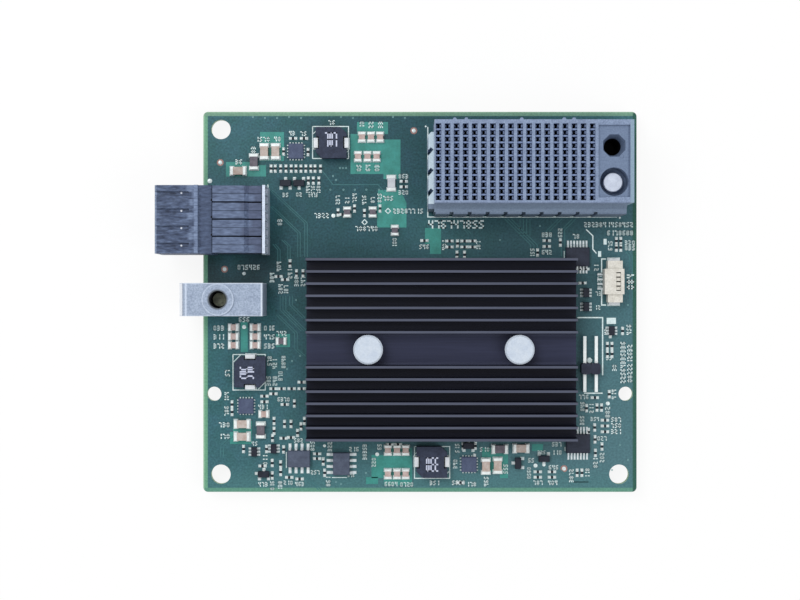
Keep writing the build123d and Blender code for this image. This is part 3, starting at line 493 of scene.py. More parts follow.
darkStart, darkEnd = [rearX(px) for px in rear["darkBand"]]
rearRegions = [
    *[(rear["lightTone"], row, (alongX, start, darkStart, 0.6, 0.75))
      for row, start in rearRows(rear["lightStarts"], 0.08)],
    (rear["darkTone"], (alongX, darkStart, darkEnd, 0.25, 0.8)),
    (rear["frontTone"], (alongX, rearBox.left - 1, rearBox.left + 0.5, 0.2, 0.7)),
    *[(tone, (ring, *fromPhoto(px, py, rear["faceHigh"]), -1, radius))
      for px, rows, radius, tone in rear["spots"] for py in rows],
]
# Painted shade on the wafers: on their backs behind the strip's windows, and deepening towards their foot
waferShadeRegions = [
    *[(rear["waferBackShade"], row, (alongX, start, far, 0.8, 0.85))
      for row, start in rearRows(rear["waferBack"], 0.05)],
    (rear["waferLowShade"], (upright, -far, rearBox.top - 2.5, 1.5, 0.8)),
]

# Dark windows of painted shade in the organiser strip, under its top edge
stripBox = edges("rear_strip")
strip = {"windows": 8, "open": 0.8, "low": 10.8, "under": 0.4, "tone": (20, 24, 38)}
windowPitch = (stripBox.back - stripBox.front) / strip["windows"]
windowWidth = strip["open"] * windowPitch
firstWindow = stripBox.front + (windowPitch - windowWidth) / 2
windowStarts = [firstWindow + index * windowPitch for index in range(strip["windows"])]
windowShadeRise = (upright, strip["low"], stripBox.top - strip["under"], 0.2)
stripWindowShade = [(strip["tone"], windowShadeRise, (alongY, start, start + windowWidth)) for start in windowStarts]

guideBox = edges("guide_block")
guide = {
    "bossInset": 7.9, "lipHighlight": (236, 240, 246), "second": (190, 202, 220), "dark": (146, 158, 178),
    "ring": (194, 206, 223), "hollow": (88, 96, 106), "end": (206, 217, 230), "hole": (72, 76, 84),
}
boss = guideBox.left + guide["bossInset"], (guideBox.front + guideBox.back) / 2
topFace = (upright, guideBox.top - 0.4, far, 0.05)
guideHighlightsAndShade = [
    # Painted highlights on the left end's eased edge, with a painted shade line between them
    (guide["lipHighlight"], (alongX, guideBox.left - 1, guideBox.left + 0.72, 0.15)),
    (guide["dark"], (alongX, guideBox.left + 0.72, guideBox.left + 1.1)),
    (guide["second"], (alongX, guideBox.left + 1.1, guideBox.left + 1.65, 0.2)),
    # Painted highlights along the right end and the two long edges
    (guide["end"], (alongX, guideBox.right - 0.5, guideBox.right - 0.02, 0.15)),
    (guide["end"], (alongY, guideBox.back - 0.28, far, 0.2, 0.7)),
    (guide["end"], (alongY, -far, guideBox.front + 0.2, 0.15, 0.5)),
    # A painted highlight on the boss's ring, then painted shade round the bore's mouth and down its walls
    (guide["ring"], topFace, (ring, *boss, 2.95, 3.35, 0.2, 0.6)),
    (guide["hollow"], topFace, (ring, *boss, 0, 2.2, 0.25)),
    (guide["hole"], (ring, *boss, 0, 1.83, 0.01), (upright, -far, guideBox.top - 0.3, 0.6)),
]

sinkBox = edges("heatsink")
# Painted light on the heatsink: the wide middle groove's floor painted lighter than the fins' valleys, as
# lit, with painted highlights along its two edges and on the fin tops
sink = {
    "tipHighlight": (80, 85, 102), "channel": (46, 50, 73), "channelEdge": (66, 71, 93), "span": 7.2, "under": 3.6,
    "edgeInsets": (0.25, 1.1),
}
sinkMiddle = (sinkBox.front + sinkBox.back) / 2
channelHigh = sinkBox.top - sink["under"]
inChannel = ((alongY, sinkMiddle - sink["span"] / 2, sinkMiddle + sink["span"] / 2, 0.05),
             (upright, channelHigh - 0.05, channelHigh + 0.05, 0.01))
# Bands of painted highlight along the groove's two edges
channelEdges = [sorted(sinkMiddle + side * (sink["span"] / 2 - inset) for inset in sink["edgeInsets"])
                for side in (-1, 1)]
sinkRegions = [
    (sink["channel"], *inChannel),
    *[(sink["channelEdge"], *inChannel, (alongY, *pair, 0.5, 0.8)) for pair in channelEdges],
    (sink["tipHighlight"], (upright, sinkBox.top - 0.06, far, 0.03)),
]

# The board: green mask, darker over the middle, with painted shade by the left connectors, a paler rim,
# painted shadow darkening the right rim, and fibre sides
boardBox = edges("pcb")
board = {
    "lowRight": (76, 114, 122), "nearFront": (70, 116, 120), "middle": (20, 50, 62), "hollow": (2, 16, 24),
    "left": (104, 158, 130), "back": (112, 152, 130), "front": (92, 144, 126), "right": (44, 90, 78),
    "outer": (160, 196, 166), "side": (128, 170, 122), "slant": 0.7,
}
slantStart, slantEnd = [(side - boardBox.front) * board["slant"] for side in (boardBox.left, boardBox.right)]
diagonal = bandAlong(board["slant"], -board["slant"], 0)
boardRegions = [
    (board["lowRight"], (diagonal, slantStart - 14, far, slantEnd - slantStart + 10)),
    (board["nearFront"], (alongY, -far, boardBox.front + 6, 4, 0.7)),
    (board["middle"], (ring, 8, 14, -1, 46, 36)),
    # Painted shade by the rear connector and the guide block
    (board["hollow"], (ring, -35.5, 8, -1, 13, 9)),
    (board["left"], (alongX, -far, boardBox.left + 1, 0.15)),
    (board["back"], (alongY, boardBox.back - 0.95, far, 0.15)),
    (board["front"], (alongY, -far, boardBox.front + 0.95, 0.2)),
    # The right border band, darkened with the painted shadow beside the host connector
    (board["right"], (alongX, boardBox.right - 0.95, far, 0.3)),
    (board["outer"], (alongX, -far, boardBox.left + 0.4, 0.3, 0.7)),
    (board["outer"], (alongY, boardBox.back - 0.35, far, 0.3, 0.6)),
    (board["side"], (facing, False)),  # the sawn sides show glass fibre
]

regions = {
    "hostPlastic": hostRegions, "rearPlastic": rearRegions, "waferPlastic": waferShadeRegions,
    "castMetal": guideHighlightsAndShade, "blackAnodised": sinkRegions, "stripMetal": stripWindowShade,
    "boardMask": boardRegions,
}
finishes = {name: plainFinish(name, {**plainLook, **look}, regions.get(name, ()))
            for name, look in looks.items()}

nodeFinishes = {
    "pcb": "boardMask", "host_housing": "hostPlastic", "host_contacts": "contactMetal",
    "host_guide_pin": "pinMetal", "host_guide_screw": "screwSteel", "rear_housing": "rearPlastic",
    "rear_wafers": "waferPlastic", "rear_strip": "stripMetal", "rear_tails": "tailMetal",
    "guide_block": "castMetal", "guide_screw": "shadeDarkenedBrass",
    "heatsink": "blackAnodised", "push_pins": "whiteNylon", "push_pin_springs": "springSteel",
    "controller_substrate": "substrate", "controller_lid": "lidMetal", "thermal_pad": "padRubber",
    "inductor_cores": "inductorBody", "inductor_clips": "solderPlate", "regulator_chips": "regulatorBody",
    "eight_lead_chips": "chipBody", "eight_lead_feet": "leadPlate", "fourteen_lead_chips": "wideChipBody",
    "fourteen_lead_feet": "leadPlate", "transistors": "smallChipBody", "transistor_leads": "leadPlate",
    "switch_chips": "smallChipBody", "switch_leads": "leadPlate", "large_capacitors": "tanCeramic",
    "small_capacitors": "brownCeramic", "ferrite_beads": "darkCeramic", "sense_resistor": "resistorBody",
    "large_end_caps": "endPlate", "small_end_caps": "endPlate", "resistor_end_caps": "endPlate",
    "wire_housing": "creamPlastic", "wire_contacts": "leadPlate", "wire_tabs": "solderPlate",
    "header_body": "headerPlastic", "header_pins": "pinPlate",
}
for name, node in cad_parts.items():
    if not node.material_slots:
        node.data.materials.append(None)
    for holder in node.material_slots:
        holder.material = finishes[nodeFinishes[name]]
print("finishes on", len(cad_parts), "nodes")

# Pale green copper areas under the mask, as pixel corners
copperAreas = (
    ((357, 122), (388, 122), (388, 134), (357, 134)),
    ((350.5, 134), (381.5, 134), (383.5, 139.5), (400.5, 139.5), (400.5, 179), (383.5, 179), (383.5, 174),
     (350.5, 174)),
    ((378, 190), (400.5, 190), (406.5, 203), (406.5, 227.5), (377, 227.5)),
    ((226, 162), (253, 162), (253, 165), (266, 165), (266, 176.5), (226, 176.5)),
    ((240.7, 322), (247.7, 322), (247.7, 352), (240.7, 352)),
    ((260, 132), (284, 132), (284, 161), (260, 161)),
    ((371.5, 455), (384, 455), (384, 448), (412, 448), (412, 485), (384, 485), (384, 478), (371.5, 478)),
    ((366, 477), (378, 477), (378, 484), (366, 484)),
    ((425, 228), (441, 228), (441, 254), (430, 254), (430, 244), (425, 244)),
    ((233, 421), (252, 421), (252, 444), (230, 444), (230, 432), (233, 432)),
    ((482, 448), (508, 448), (508, 478), (500, 478), (500, 472), (482, 472)),
    ((532, 444), (543, 444), (543, 451), (532, 451)),
    ((276, 334), (290, 334), (290, 347), (276, 347)),
)
copperMesh = bmesh.new()
for corners in copperAreas:
    addPatch(copperMesh, [fromPhoto(*corner) for corner in corners], boardTop + ink["copper"])
makePiece("copperAreas", copperMesh, "maskedCopper")

# Traces that show under the mask, as pixel routes; each entry is (routes side by side, pitch in mm, points)
traceRoutes = (
    (2, 0.55, ((271, 190), (306, 223), (306, 257))),
    (2, 0.55, ((271, 206), (299, 233), (299, 257))),
    (2, 0.5, ((283, 240), (289, 246), (289, 262))),
    (2, 0.5, ((274, 244), (279, 250), (279, 262))),
    (3, 0.6, ((283, 296), (283, 310), (304, 331))),
    (2, 0.6, ((291, 296), (291, 305), (304, 318))),
    (2, 0.6, ((277.6, 314.8), (296, 333), (296, 349), (304, 356))),
    (1, 0.5, ((320.8, 168.8), (333, 184.6), (378, 184.6), (385, 192))),
    (3, 0.7, ((508, 219), (534, 245), (534, 256))),
    (2, 0.7, ((560, 219), (548, 231), (548, 236))),
    (2, 0.7, ((574, 219), (563, 230), (563, 256))),
    (4, 0.7, ((525, 219), (525, 236))),
    (2, 0.6, ((455, 219), (470, 234))),
    (2, 0.6, ((300, 470), (320, 490))),
    (2, 0.6, ((560, 470), (572, 482), (590, 482))),
    (1, 0.6, ((596, 330), (602, 336), (602, 350))),
    (2, 0.6, ((232, 436), (222, 446), (222, 458))),
    (2, 0.6, ((626, 250), (631, 256), (631, 300))),
)
traceMesh = bmesh.new()
for count, pitch, route in traceRoutes:
    points = [fromPhoto(*point) for point in route]
    for index in range(count):
        shift = (index - (count - 1) / 2) * pitch
        addRibbon(traceMesh, [(x + shift, y) for x, y in points], ink["traceWidth"], boardTop + ink["trace"])
makePiece("traces", traceMesh, "maskedTrace")

# Vias, and round test pads as (pixel column, pixel row, radius in mm)
viaRows = (
    ((330.4, 189.7), (343.5, 189.7), (354.8, 189.7), (366.3, 189.7), (379, 189.7)),
    ((340, 168), (343, 168), (346, 168), (333, 176), (336, 180)),
    ((253, 117), (265, 118), (277, 118), (289, 117), (301, 118), (341, 117), (353, 118), (393, 117),
     (405, 118)),
    ((292, 361), (300, 356), (287, 369), (296, 300), (336, 482), (341, 484), (366, 473)),
    ((610, 262), (617, 262), (628, 305), (620, 445), (628, 460), (612, 470), (540, 226), (520, 228),
     (500, 240)),
)
via = {"inner": 0.09, "outer": 0.21, "sides": 12}
viaMesh = bmesh.new()
for point in sum(viaRows, ()):
    addRing(viaMesh, *fromPhoto(*point), boardTop + ink["trace"], *via.values())
makePiece("vias", viaMesh, "viaTin")

testPads = (
    (333.4, 215.7, 0.43), (244.1, 327, 0.43), (377.2, 454.3, 0.4), (535.5, 465.6, 0.42), (543.9, 464.8, 0.34),
    (607.8, 403.5, 0.42), (209.8, 181, 0.5), (244, 273.5, 0.36), (619.7, 217.7, 0.2),
    (425.8, 126.4, 0.2), (324.5, 445.7, 0.32),
)
fiducials = ((220.3, 162.5), (413.8, 130.7), (224.6, 269.2), (564, 468.6))
pad = {"edge": 0.02, "taper": 0.8, "high": 0.05}
fiducial = {"radius": 0.42, "top": 0.36, "high": 0.04, "ring": 0.72, "sides": 24}
padMesh = bmesh.new()
ringMesh = bmesh.new()
for px, py, radius in testPads:
    profile = ((radius, 0), (radius, pad["edge"]), (radius * pad["taper"], pad["high"]))
    addTurned(padMesh, *fromPhoto(px, py), profile)
for point in fiducials:
    radius = fiducial["radius"]
    profile = ((radius, 0), (radius, pad["edge"]), (fiducial["top"], fiducial["high"]))
    addTurned(padMesh, *fromPhoto(*point), profile, fiducial["sides"])
    addRing(ringMesh, *fromPhoto(*point), boardTop + ink["copper"], radius, fiducial["ring"])
makePiece("testPads", padMesh, "solderTin", 40)
makePiece("fiducialRings", ringMesh, "bareRing")
print("copper, traces and pads")

# White print: lines as (width in mm, pixel route), and labels as rows of plain figures in place of lettering
inductorBoxes = ((312.6, 126.5, 348.5, 158.5), (233, 354.5, 265.3, 390), (414.5, 446.5, 449.7, 478.3))
silkLines = (
    (0.22, ((427.8, 127), (427.8, 217), (616.6, 217), (616.6, 214))),
    *[(0.2, ((left, back), (right, back), (right, front), (left, front), (left, back)))
      for left, back, right, front in inductorBoxes],
    *[(0.18, ((px, py), (px + 7, py - 7)))
      for px, py in ((313, 134), (341, 158), (233.5, 362), (258, 389.5), (415, 454), (442.5, 478))],
    (0.2, ((268, 184.5), (268, 254.3), (262, 254.3))),
    (0.26, ((577.4, 317.6), (602.6, 317.6), (602.6, 375.3))), (0.26, ((584, 393.2), (602.6, 393.2))),
    (0.26, ((606, 259), (601.6, 259), (601.6, 272.5))), (0.26, ((601.6, 289.5), (601.6, 305), (606, 305))),
    (0.24, ((586.1, 229.4), (592.8, 235.8), (592.8, 249.2), (596.5, 253.5))),
    (0.16, ((286.3, 452), (286.3, 468))), (0.16, ((332, 477.5), (347, 477.5))),
    (0.16, ((565, 447), (565, 451))), (0.16, ((564.2, 251), (564.2, 258))),
)
# Each label: pixel of its middle, characters, character height in mm, and its turn in degrees if it has one
silkLabels = (
    (331.5, 122.7, 2, 0.9), (292, 133.2, 2, 0.85), (303.3, 133.7, 2, 0.85), (262.7, 139.3, 4, 0.9),
    (277.3, 139, 2, 0.9), (253.3, 149.8, 2, 0.9, 90), (238.7, 161.9, 2, 0.95), (285.4, 194.9, 2, 0.8),
    (298.9, 194.5, 2, 0.8), (248.6, 267.3, 6, 0.95), (279.8, 222.2, 2, 0.9, 90),
    *[(px, 124.9, 2, 0.9, 90) for px in (361.9, 371, 380.5)],
    *[(px, 168, 2, 0.9, 90) for px in (359, 368, 377)], (388, 198.3, 3, 0.9), (321.6, 215.6, 4, 0.95),
    (366.4, 228.6, 6, 0.95), (408, 211.1, 8, 0.95), (394.6, 242.8, 3, 0.85, 90), (403.3, 176.3, 3, 0.85),
    (403.3, 192.4, 3, 0.85), (337.8, 200, 3, 0.8, 90), (347.2, 200.5, 2, 0.8, 90), (354.6, 198, 3, 0.8, 90),
    (364.2, 200, 3, 0.8, 90), (372.8, 200, 2, 0.8, 90), (379.6, 198, 3, 0.8, 90),
    *[(px, 190, 3, 0.75, 90) for px in (308, 313, 318.4)], (313, 195.5, 4, 0.6), (278.9, 266.5, 3, 0.85, 90),
    (272, 277.6, 3, 0.85, 90), (290, 274, 3, 0.85, 90), (296.5, 281.5, 3, 0.85, 90),
    (303, 281.5, 3, 0.85, 90), (280.6, 289, 3, 0.85, 90), (286, 290, 3, 0.85, 90), (244, 319.6, 3, 0.95),
    *[(px, py, 3, 0.95) for px in (218.8, 269.2) for py in (328.1, 336.9, 346)], (281.5, 333.4, 3, 0.9),
    (227.4, 373.2, 2, 0.9, 90), (269.5, 361, 3, 0.85, 90), (274.8, 364, 3, 0.85, 90),
    (283.5, 362, 4, 0.8, 90), (268.6, 381, 3, 0.85, 90), (275, 381, 3, 0.85, 90), (280.5, 376, 3, 0.85, 90),
    (226.7, 396.9, 3, 0.85, 90), (226.7, 411, 3, 0.85, 90), (283.5, 399.4, 4, 0.8), (263, 406.9, 3, 0.85),
    (224.2, 424.8, 3, 0.95), (224.2, 436.4, 3, 0.95), (254.5, 443.6, 2, 0.8), (265.2, 460, 3, 0.85, 90),
    (263, 484.3, 3, 0.85), (272.2, 485.6, 3, 0.8, 90), (280.1, 485.6, 3, 0.8, 90), (288.1, 482.7, 3, 0.8),
    (299.5, 484, 3, 0.8), (298.4, 440.4, 3, 0.8), (312.5, 446, 3, 0.85, 90), (315.2, 472.3, 3, 0.8),
    (353.9, 449.2, 3, 0.85), (328.2, 481.5, 3, 0.85, 90), (329.9, 446.7, 3, 0.85, 90), (351, 475.5, 3, 0.6),
    (364.7, 452, 5, 0.8, 90), (373.8, 462.4, 3, 0.8, 90), (379.5, 447, 2, 0.8, 90), (391, 484, 4, 0.85),
    (406.6, 484.4, 4, 0.85), (434.5, 482.9, 3, 0.85), (458.4, 482.7, 4, 0.85), (471.3, 484.2, 3, 0.85),
    (457.2, 448.3, 3, 0.8, 90), (455.2, 464, 3, 0.8, 90), (484.6, 449.4, 3, 0.85),
    (486.2, 481.5, 3, 0.85, 90), (505.6, 469, 3, 0.85, 90), (531, 460.3, 2, 0.85), (541.5, 452.4, 3, 0.7),
    (556.7, 444.2, 3, 0.85), (556.7, 452.5, 3, 0.85), (553.4, 467.4, 3, 0.85), (538, 482.7, 3, 0.85),
    (552.6, 482.7, 3, 0.85), (529, 473, 4, 0.75, 90), (571.3, 475.7, 4, 0.85, 90),
    (587.4, 473.2, 3, 0.85, 90), (602, 438.4, 3, 0.85), (595.4, 463, 3, 0.85, 90), (602, 457.6, 3, 0.85, 90),
    *[(616, py, 3, 0.9) for py in (419.6, 425.6, 431.6)], (583.6, 396.9, 3, 0.85),
    (582.5, 406.5, 3, 0.8, 90), (591.5, 408.5, 3, 0.8, 90), (594.8, 419, 3, 0.75), (582, 420.5, 3, 0.8, 90),
    (607.6, 412.2, 3, 0.95, 90), (613.9, 394.4, 3, 0.85, 90), (614.4, 367.9, 2, 0.85, 90),
    (623, 362.5, 11, 0.95, 90), (629.8, 363.5, 10, 0.95, 90), (628.9, 329.8, 3, 0.9, 90),
    (606.6, 331.6, 2, 0.85, 90), (609, 358, 2, 0.8), (608.5, 224.7, 13, 0.95), (620, 233, 7, 0.95),
    (610.3, 245.8, 3, 0.85, 90), (629.8, 242.8, 3, 0.9), (629.8, 248, 3, 0.9), (576, 236.4, 2, 0.9),
    (546.8, 234.8, 3, 0.9), (546.8, 252.3, 3, 0.9), (560.1, 232.9, 3, 0.8, 90), (532.4, 253, 3, 0.8, 90),
    (424, 246.8, 3, 0.85), (444.4, 245.2, 3, 0.85, 90), (478.4, 246, 3, 0.85, 90),
    (596.3, 267.8, 2, 0.85, 90), (599.6, 280.6, 5, 0.8, 90), (598.4, 293.6, 2, 0.8), (597.4, 307.5, 2, 0.8),
    (630.4, 281.8, 3, 1.35, 90),
)
silk = {
    "grow": 1.12, "hostLabel": (456, 224.4, 9, 1.75), "hostShares": {"wideShare": 0.62, "strokeShare": 0.18},
    "spot": (589.3, 360.5), "spotProfile": ((0.62, 0), (0.62, 0.2), (0.5, 0.3)),
    "diamonds": ((364.6, 222.2), (388, 211)), "diamondReach": 0.55, "diamondLine": 0.2,
}
# Printed blocks: pixel of the middle, height, length and width in mm
silkBlocks = ((605.1, 241.7, 0.05, 0.65, 1.2), (599.6, 254, 0.05, 0.65, 1.2), (611.3, 320.9, 0.02, 1.95, 1.3))

# The seven strokes of a plain figure as (along, across) ends, in shares of its width and height
strokes = {
    "a": ((0, 1), (1, 1)), "b": ((1, 0.5), (1, 1)), "c": ((1, 0), (1, 0.5)), "d": ((0, 0), (1, 0)),
    "e": ((0, 0), (0, 0.5)), "f": ((0, 0.5), (0, 1)), "g": ((0, 0.5), (1, 0.5)),
}
figures = ("adfbec", "abged", "abgcd", "fgbc", "afgcd", "afgecd", "abc", "adgfbec", "bc")


def addLabel(mesh, px, py, count, height, turn=0, high=0, pitchShare=0.76, wideShare=0.56, strokeShare=0.2):
    # A row of plain figures that stand for printed characters
    x, y = fromPhoto(px, py, high)
    stroke = height * strokeShare
    tall = height - stroke
    wide = height * wideShare - stroke
    for index in range(count):
        left = (index - (count - 1) / 2) * height * pitchShare - wide / 2
        for name in dice.choice(figures):
            (a, b), (c, d) = strokes[name]
            size = (wide + stroke, stroke) if b == d else (stroke, tall / 2 + stroke)
            middle = swung(x, y, left + (a + c) / 2 * wide, ((b + d) / 2 - 0.5) * tall, turn)
            addPatch(mesh, cornersOf(*middle, *size, turn), boardTop + high + ink["silk"])


silkMesh = bmesh.new()
for width, route in silkLines:
    addRibbon(silkMesh, [fromPhoto(*point) for point in route], width, boardTop + ink["silk"])
for px, py, count, height, *turn in silkLabels:
    addLabel(silkMesh, px, py, count, height * silk["grow"], *turn)
addLabel(silkMesh, *silk["hostLabel"], **silk["hostShares"])
addTurned(silkMesh, *fromPhoto(*silk["spot"]), silk["spotProfile"])
for px, py, high, length, width in silkBlocks:
    addSlab(silkMesh, *fromPhoto(px, py), boardTop, boardTop + high, length, width)
for point in silk["diamonds"]:
    x, y = fromPhoto(*point)
    reach = silk["diamondReach"]
    corners = [(x, y - reach), (x + reach, y), (x, y + reach), (x - reach, y), (x, y - reach)]
    addRibbon(silkMesh, corners, silk["diamondLine"], boardTop + ink["silk"])
makePiece("boardPrint", silkMesh, "silkInk")

# Plain marks on the three inductors: pixel of the middle, turn
inductorTop = edges("inductor_cores").top
inductorMarks = ((331.1, 139.4, 0), (246.9, 372.9, 90), (432.1, 464.5, 180))
mark = {"count": 3, "height": 3, "shares": (0.3, 0.25, 0.1)}
markMesh = bmesh.new()
for px, py, turn in inductorMarks:
    addLabel(markMesh, px, py, mark["count"], mark["height"], turn, inductorTop - boardTop, *mark["shares"])
makePiece("inductorMarks", markMesh, "markInk")
print("board print")

# Small chip resistors and capacitors with their end caps and solder: sizes in mm, and pixels for each turn
smallChip = {
    "length": 1.0, "width": 0.5, "height": 0.35, "lift": 0.05, "bodyLength": 0.7, "bodyWidth": 0.46,
    "bodyHeight": 0.32, "cap": 0.26, "capEase": 0.05, "solder": 0.62, "solderOut": 0.08, "solderHigh": 0.2,
    "solderEase": 0.14,
}
smallChipPixels = {
    0: (
        (293, 138.4), (304, 138.4), (403.8, 181.3), (403.8, 186.8), (342.6, 214.5), (278.5, 276.5),
        (285, 279.6), (273.4, 388.7), (281.6, 388.7), (273.4, 393.8), (264.4, 396.2), (264.4, 401.8),
        (291.7, 388.7), (301.7, 382.2), (301.7, 388.7), (284.8, 404.5), (283.6, 438.3), (291, 437.5),
        (289.2, 477.4), (299.6, 479), (317, 453.8), (317, 458.6), (262.5, 466), (259, 473.5), (390, 444.5),
        (398, 444.5), (460.5, 482.7), (537.8, 471.8), (537.8, 477.2), (552, 471.8), (552, 477.2),
        (605, 420.2), (605, 426), (605, 431.8), (594.8, 397.6), (546.8, 240.6), (546.8, 246.5),
        (424.4, 240.6), (449.5, 241), (449.5, 247), (464.5, 241), (464.5, 247), (472.5, 241), (472.5, 247),
        (579.5, 269), (585.5, 269), (582.5, 283),
    ),
    90: (
        *[(px, 168.6) for px in (271, 275.2, 280.6, 285.9, 291.2, 295.9, 300.9, 305.8, 310.8, 315)],
        *[(px, 180.6) for px in (308.3, 313.3, 318.8)],
        (283.5, 151.5), (308, 152), (320.5, 168.6), (338, 212.5), (354.5, 208.5), (364.4, 213),
        (380, 208.5), (296.5, 273.5), (303, 273.5), (290, 263.5), (294.4, 403.5), (232, 404.5), (232, 412),
        (274, 421), (274, 431), (284.5, 424), (291, 424), (301, 426.5), (304.4, 421), (272.5, 438),
        (297.5, 433), (243.5, 449), (266.5, 449), (283.6, 449.5), (272.2, 463), (272.2, 475.6),
        (280.6, 464.5), (280.6, 472), (324.6, 472.8), (323.2, 461.5), (463, 446.2), (475.4, 445.8),
        (474.6, 457.8), (577.2, 472.8), (581.9, 472.8), (586.6, 408.2), (597, 407.6), (601.5, 407.6),
        (594.7, 427.5), (595, 439.4), (602, 446.5), (595.4, 453), (588.5, 432), (609.3, 394.2),
        (622.6, 331), (610.4, 334), (607.4, 346), (612, 346), (607.4, 354), (612, 354), (537.6, 252.6),
        (560.4, 242.5), (616.4, 241), (620.8, 241), (616.4, 247.6), (620.8, 247.6), (457.5, 243.5),
        (457, 254.8), (464.5, 254.8),
    ),
}
chipBodyMesh = bmesh.new()
chipEndMesh = bmesh.new()
chipSolderMesh = bmesh.new()
chipLow = boardTop + smallChip["lift"]
capReach = (smallChip["length"] - smallChip["cap"]) / 2
solderReach = smallChip["length"] / 2 + smallChip["solderOut"]
for turn, pixels in smallChipPixels.items():
    for px, py in pixels:
        x, y = fromPhoto(px, py, smallChip["height"] / 2)
        addSlab(chipBodyMesh, x, y, chipLow, chipLow + smallChip["bodyHeight"], smallChip["bodyLength"],
                smallChip["bodyWidth"], turn)
        for end in (-1, 1):
            addSlab(chipEndMesh, *swung(x, y, end * capReach, 0, turn), chipLow,
                    chipLow + smallChip["height"], smallChip["cap"], smallChip["width"], turn,
                    smallChip["capEase"])
            addSlab(chipSolderMesh, *swung(x, y, end * solderReach, 0, turn), boardTop,
                    boardTop + smallChip["solderHigh"], smallChip["solder"], smallChip["solder"], turn,
                    smallChip["solderEase"])
makePiece("smallChipBodies", chipBodyMesh, "tinyCeramic")
makePiece("smallChipEnds", chipEndMesh, "endPlate")
makePiece("smallChipSolder", chipSolderMesh, "solderTin")
print("small chips", sum(len(pixels) for pixels in smallChipPixels.values()))


def islands(node):
    # The box of each separate solid of a node, in millimetres
    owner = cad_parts[node]
    spots = [tuple(round(value / mm, 3) for value in owner.matrix_world @ vertex.co)
             for vertex in owner.data.vertices]
    leader = {}

    def find(spot):
        while leader.setdefault(spot, spot) != spot:
            spot = leader[spot]
        return spot

    for edge in owner.data.edges:
        leader[find(spots[edge.vertices[0]])] = find(spots[edge.vertices[1]])
    groups = {}
    for spot in set(spots):
        groups.setdefault(find(spot), []).append(spot)
    return [[(min(values), max(values)) for values in zip(*members)] for members in sorted(groups.values())]


# Solder at the foot of every lead, end cap and clip: how far it spreads and how high it climbs, in mm
solder = {
    "eight_lead_feet": (0.1, 0.12), "fourteen_lead_feet": (0.06, 0.1), "transistor_leads": (0.14, 0.12),
    "switch_leads": (0.08, 0.1), "large_end_caps": (0.22, 0.5), "small_end_caps": (0.2, 0.35),
    "resistor_end_caps": (0.2, 0.25), "inductor_clips": (0.2, 0.2), "wire_tabs": (0.25, 0.3),
}
easeShare = 0.8
solderMesh = bmesh.new()
for name, (spread, climb) in solder.items():
    for (left, right), (front, back), _ in islands(name):
        addSlab(solderMesh, (left + right) / 2, (front + back) / 2, boardTop, boardTop + climb,
                right - left + 2 * spread, back - front + 2 * spread, 0, easeShare * min(climb, spread))
# Solder dots round the regulators
dots = {"perSide": 5, "pitch": 0.62, "out": 0.12, "length": 0.36, "width": 0.3, "high": 0.1, "ease": 0.06}
dotShifts = [(index - (dots["perSide"] - 1) / 2) * dots["pitch"] for index in range(dots["perSide"])]
for (left, right), (front, back), _ in islands("regulator_chips"):
    for turn, size in ((0, right - left), (90, back - front)):
        for reach in (-size / 2 - dots["out"], size / 2 + dots["out"]):
            for shift in dotShifts:
                x, y = swung((left + right) / 2, (front + back) / 2, reach, shift, turn)
                addSlab(solderMesh, x, y, boardTop, boardTop + dots["high"], dots["length"], dots["width"],
                        turn, dots["ease"])
makePiece("solderJoints", solderMesh, "solderTin")
print("solder")

# The comb in the wire connector's slot, between two pixels
comb = {
    "leftBack": (616.4, 272.6), "rightFront": (620.9, 290.6),
    "teeth": 4, "share": 0.72, "under": 0.3, "deep": 1.2,
}
wireTop = edges("wire_housing").top
combLeft, combBack = fromPhoto(*comb["leftBack"], wireTop - boardTop)
combRight, combFront = fromPhoto(*comb["rightFront"], wireTop - boardTop)
toothPitch = (combBack - combFront) / comb["teeth"]
combMesh = bmesh.new()
for index in range(comb["teeth"]):
    addSlab(combMesh, (combLeft + combRight) / 2, combFront + (index + 0.5) * toothPitch,
            wireTop - comb["deep"], wireTop - comb["under"], combRight - combLeft, toothPitch * comb["share"])
makePiece("wireComb", combMesh, "creamPlastic")

# Contact beams in the host connector's cells, two springs to a cell. A beam says its side and how far it ends
# under the face
cells = {
    "columns": 18, "rows": 12, "columnPitch": 1.83, "rowPitch": 1.32, "length": 1.15, "firstX": 1.975,
    "firstY": 1.6637, "beamWidth": 0.6, "beamThick": 0.3, "beamLow": 3.8, "beamGap": 0.02, "beamEase": 0.1,
    "beams": ((-1, 1.0), (1, 0.3)),
}
beamReach = (cells["length"] - cells["beamThick"]) / 2 - cells["beamGap"]
beamMesh = bmesh.new()
for column in range(cells["columns"]):
    for row in range(cells["rows"]):
        x = hostBox.left + cells["firstX"] + column * cells["columnPitch"]
        y = hostBox.back - cells["firstY"] - row * cells["rowPitch"]
        for side, under in cells["beams"]:
            addSlab(beamMesh, x + side * beamReach, y, hostBox.top - cells["beamLow"], hostBox.top - under,
                    cells["beamThick"], cells["beamWidth"], 0, cells["beamEase"])
makePiece("contactBeams", beamMesh, "contactMetal")
print("contact beams")

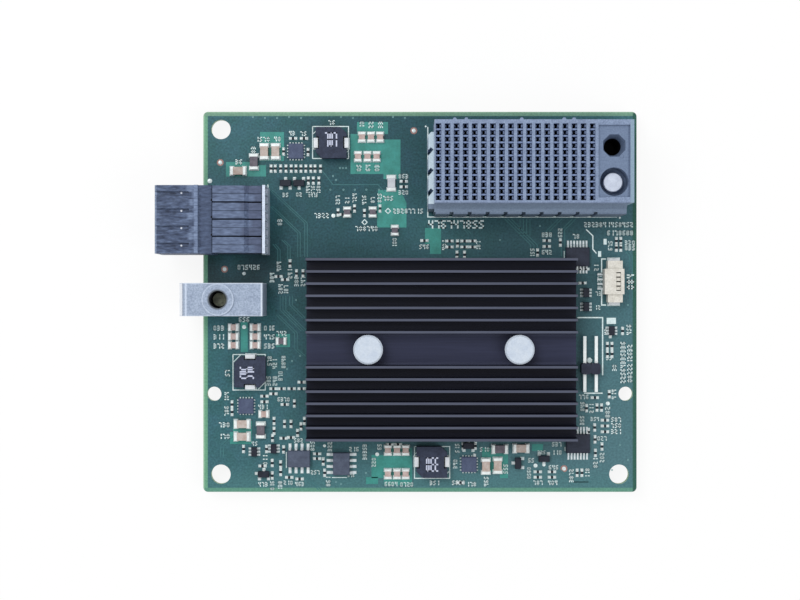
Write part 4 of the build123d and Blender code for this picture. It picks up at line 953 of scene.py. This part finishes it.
# Light: a white room and two soft lamps, so that a colour shows about as it is written
lamps = {
    "room": 0.62,
    "soft": (("keyLamp", (-0.22, 0.20, 0.55), 0.30, 1.5), ("fillLamp", (0.30, -0.16, 0.50), 0.30, 0.7)),
}
world = bpy.data.worlds.new("paleRoom")
bpy.context.scene.world = world
world.use_nodes = True
tree = world.node_tree
rays = addNode(tree, "LightPath").outputs
seen = compute(tree, "MAXIMUM", rays["Is Camera Ray"], rays["Is Transmission Ray"])
strength = addNode(tree, "MapRange", Value=seen, **{"To Min": lamps["room"], "To Max": 1})
background = tree.nodes["Background"].inputs
background["Color"].default_value = (1, 1, 1, 1)
tree.links.new(strength.outputs["Result"], background["Strength"])
for name, place, size, watts in lamps["soft"]:
    lamp = bpy.data.lights.new(name, "AREA")
    lamp.size = size
    lamp.energy = watts
    holder = bpy.data.objects.new(name, lamp)
    holder.location = place
    holder.rotation_euler = (-holder.location).to_track_quat("-Z", "Y").to_euler()
    bpy.context.scene.collection.objects.link(holder)

# Floor: white to the camera and in reflections, and it keeps the card's shadow
floorLook = {"size": 2400, "shadowShare": 0.12, "paper": (0.95, 0.95, 0.95, 1)}
floorMesh = bmesh.new()
addPatch(floorMesh, cornersOf(0, 0, floorLook["size"], floorLook["size"]), 0)
floorPaint = bpy.data.materials.new("floorPaint")
floorPaint.use_nodes = True
tree = floorPaint.node_tree
tree.nodes.clear()
rays = addNode(tree, "LightPath").outputs
seen = compute(tree, "MAXIMUM", rays["Is Camera Ray"], rays["Is Glossy Ray"])
seen = compute(tree, "MAXIMUM", seen, rays["Is Transmission Ray"])
share = compute(tree, "MULTIPLY", seen, 1 - floorLook["shadowShare"])
paper = addNode(tree, "BsdfDiffuse", Color=floorLook["paper"]).outputs["BSDF"]
glow = addNode(tree, "Emission").outputs["Emission"]
blend = addNode(tree, "MixShader", None, share, paper, glow)
addNode(tree, "OutputMaterial", Surface=blend.outputs["Shader"])
floor = addObject("floor", floorMesh, floorPaint)

# Camera: straight down from above the card's middle, as the photograph was taken
shot = {"wide": 800, "sensor": 36, "clipStart": 0.01}
camera = bpy.data.cameras.new("camera")
camera.sensor_width = shot["sensor"]
camera.lens = shot["sensor"] * photo["eyeHigh"] * photo["pxPerMm"] / shot["wide"]
camera.clip_start = shot["clipStart"]
viewer = bpy.data.objects.new("camera", camera)
eyeX, eyeY = fromPhoto(photo["middleX"], photo["middleY"])
viewer.location = (eyeX * mm, eyeY * mm, (boardTop + photo["eyeHigh"]) * mm)
bpy.context.scene.collection.objects.link(viewer)
bpy.context.scene.camera = viewer
bpy.context.scene.view_settings.view_transform = "Standard"
print("light, floor and camera")
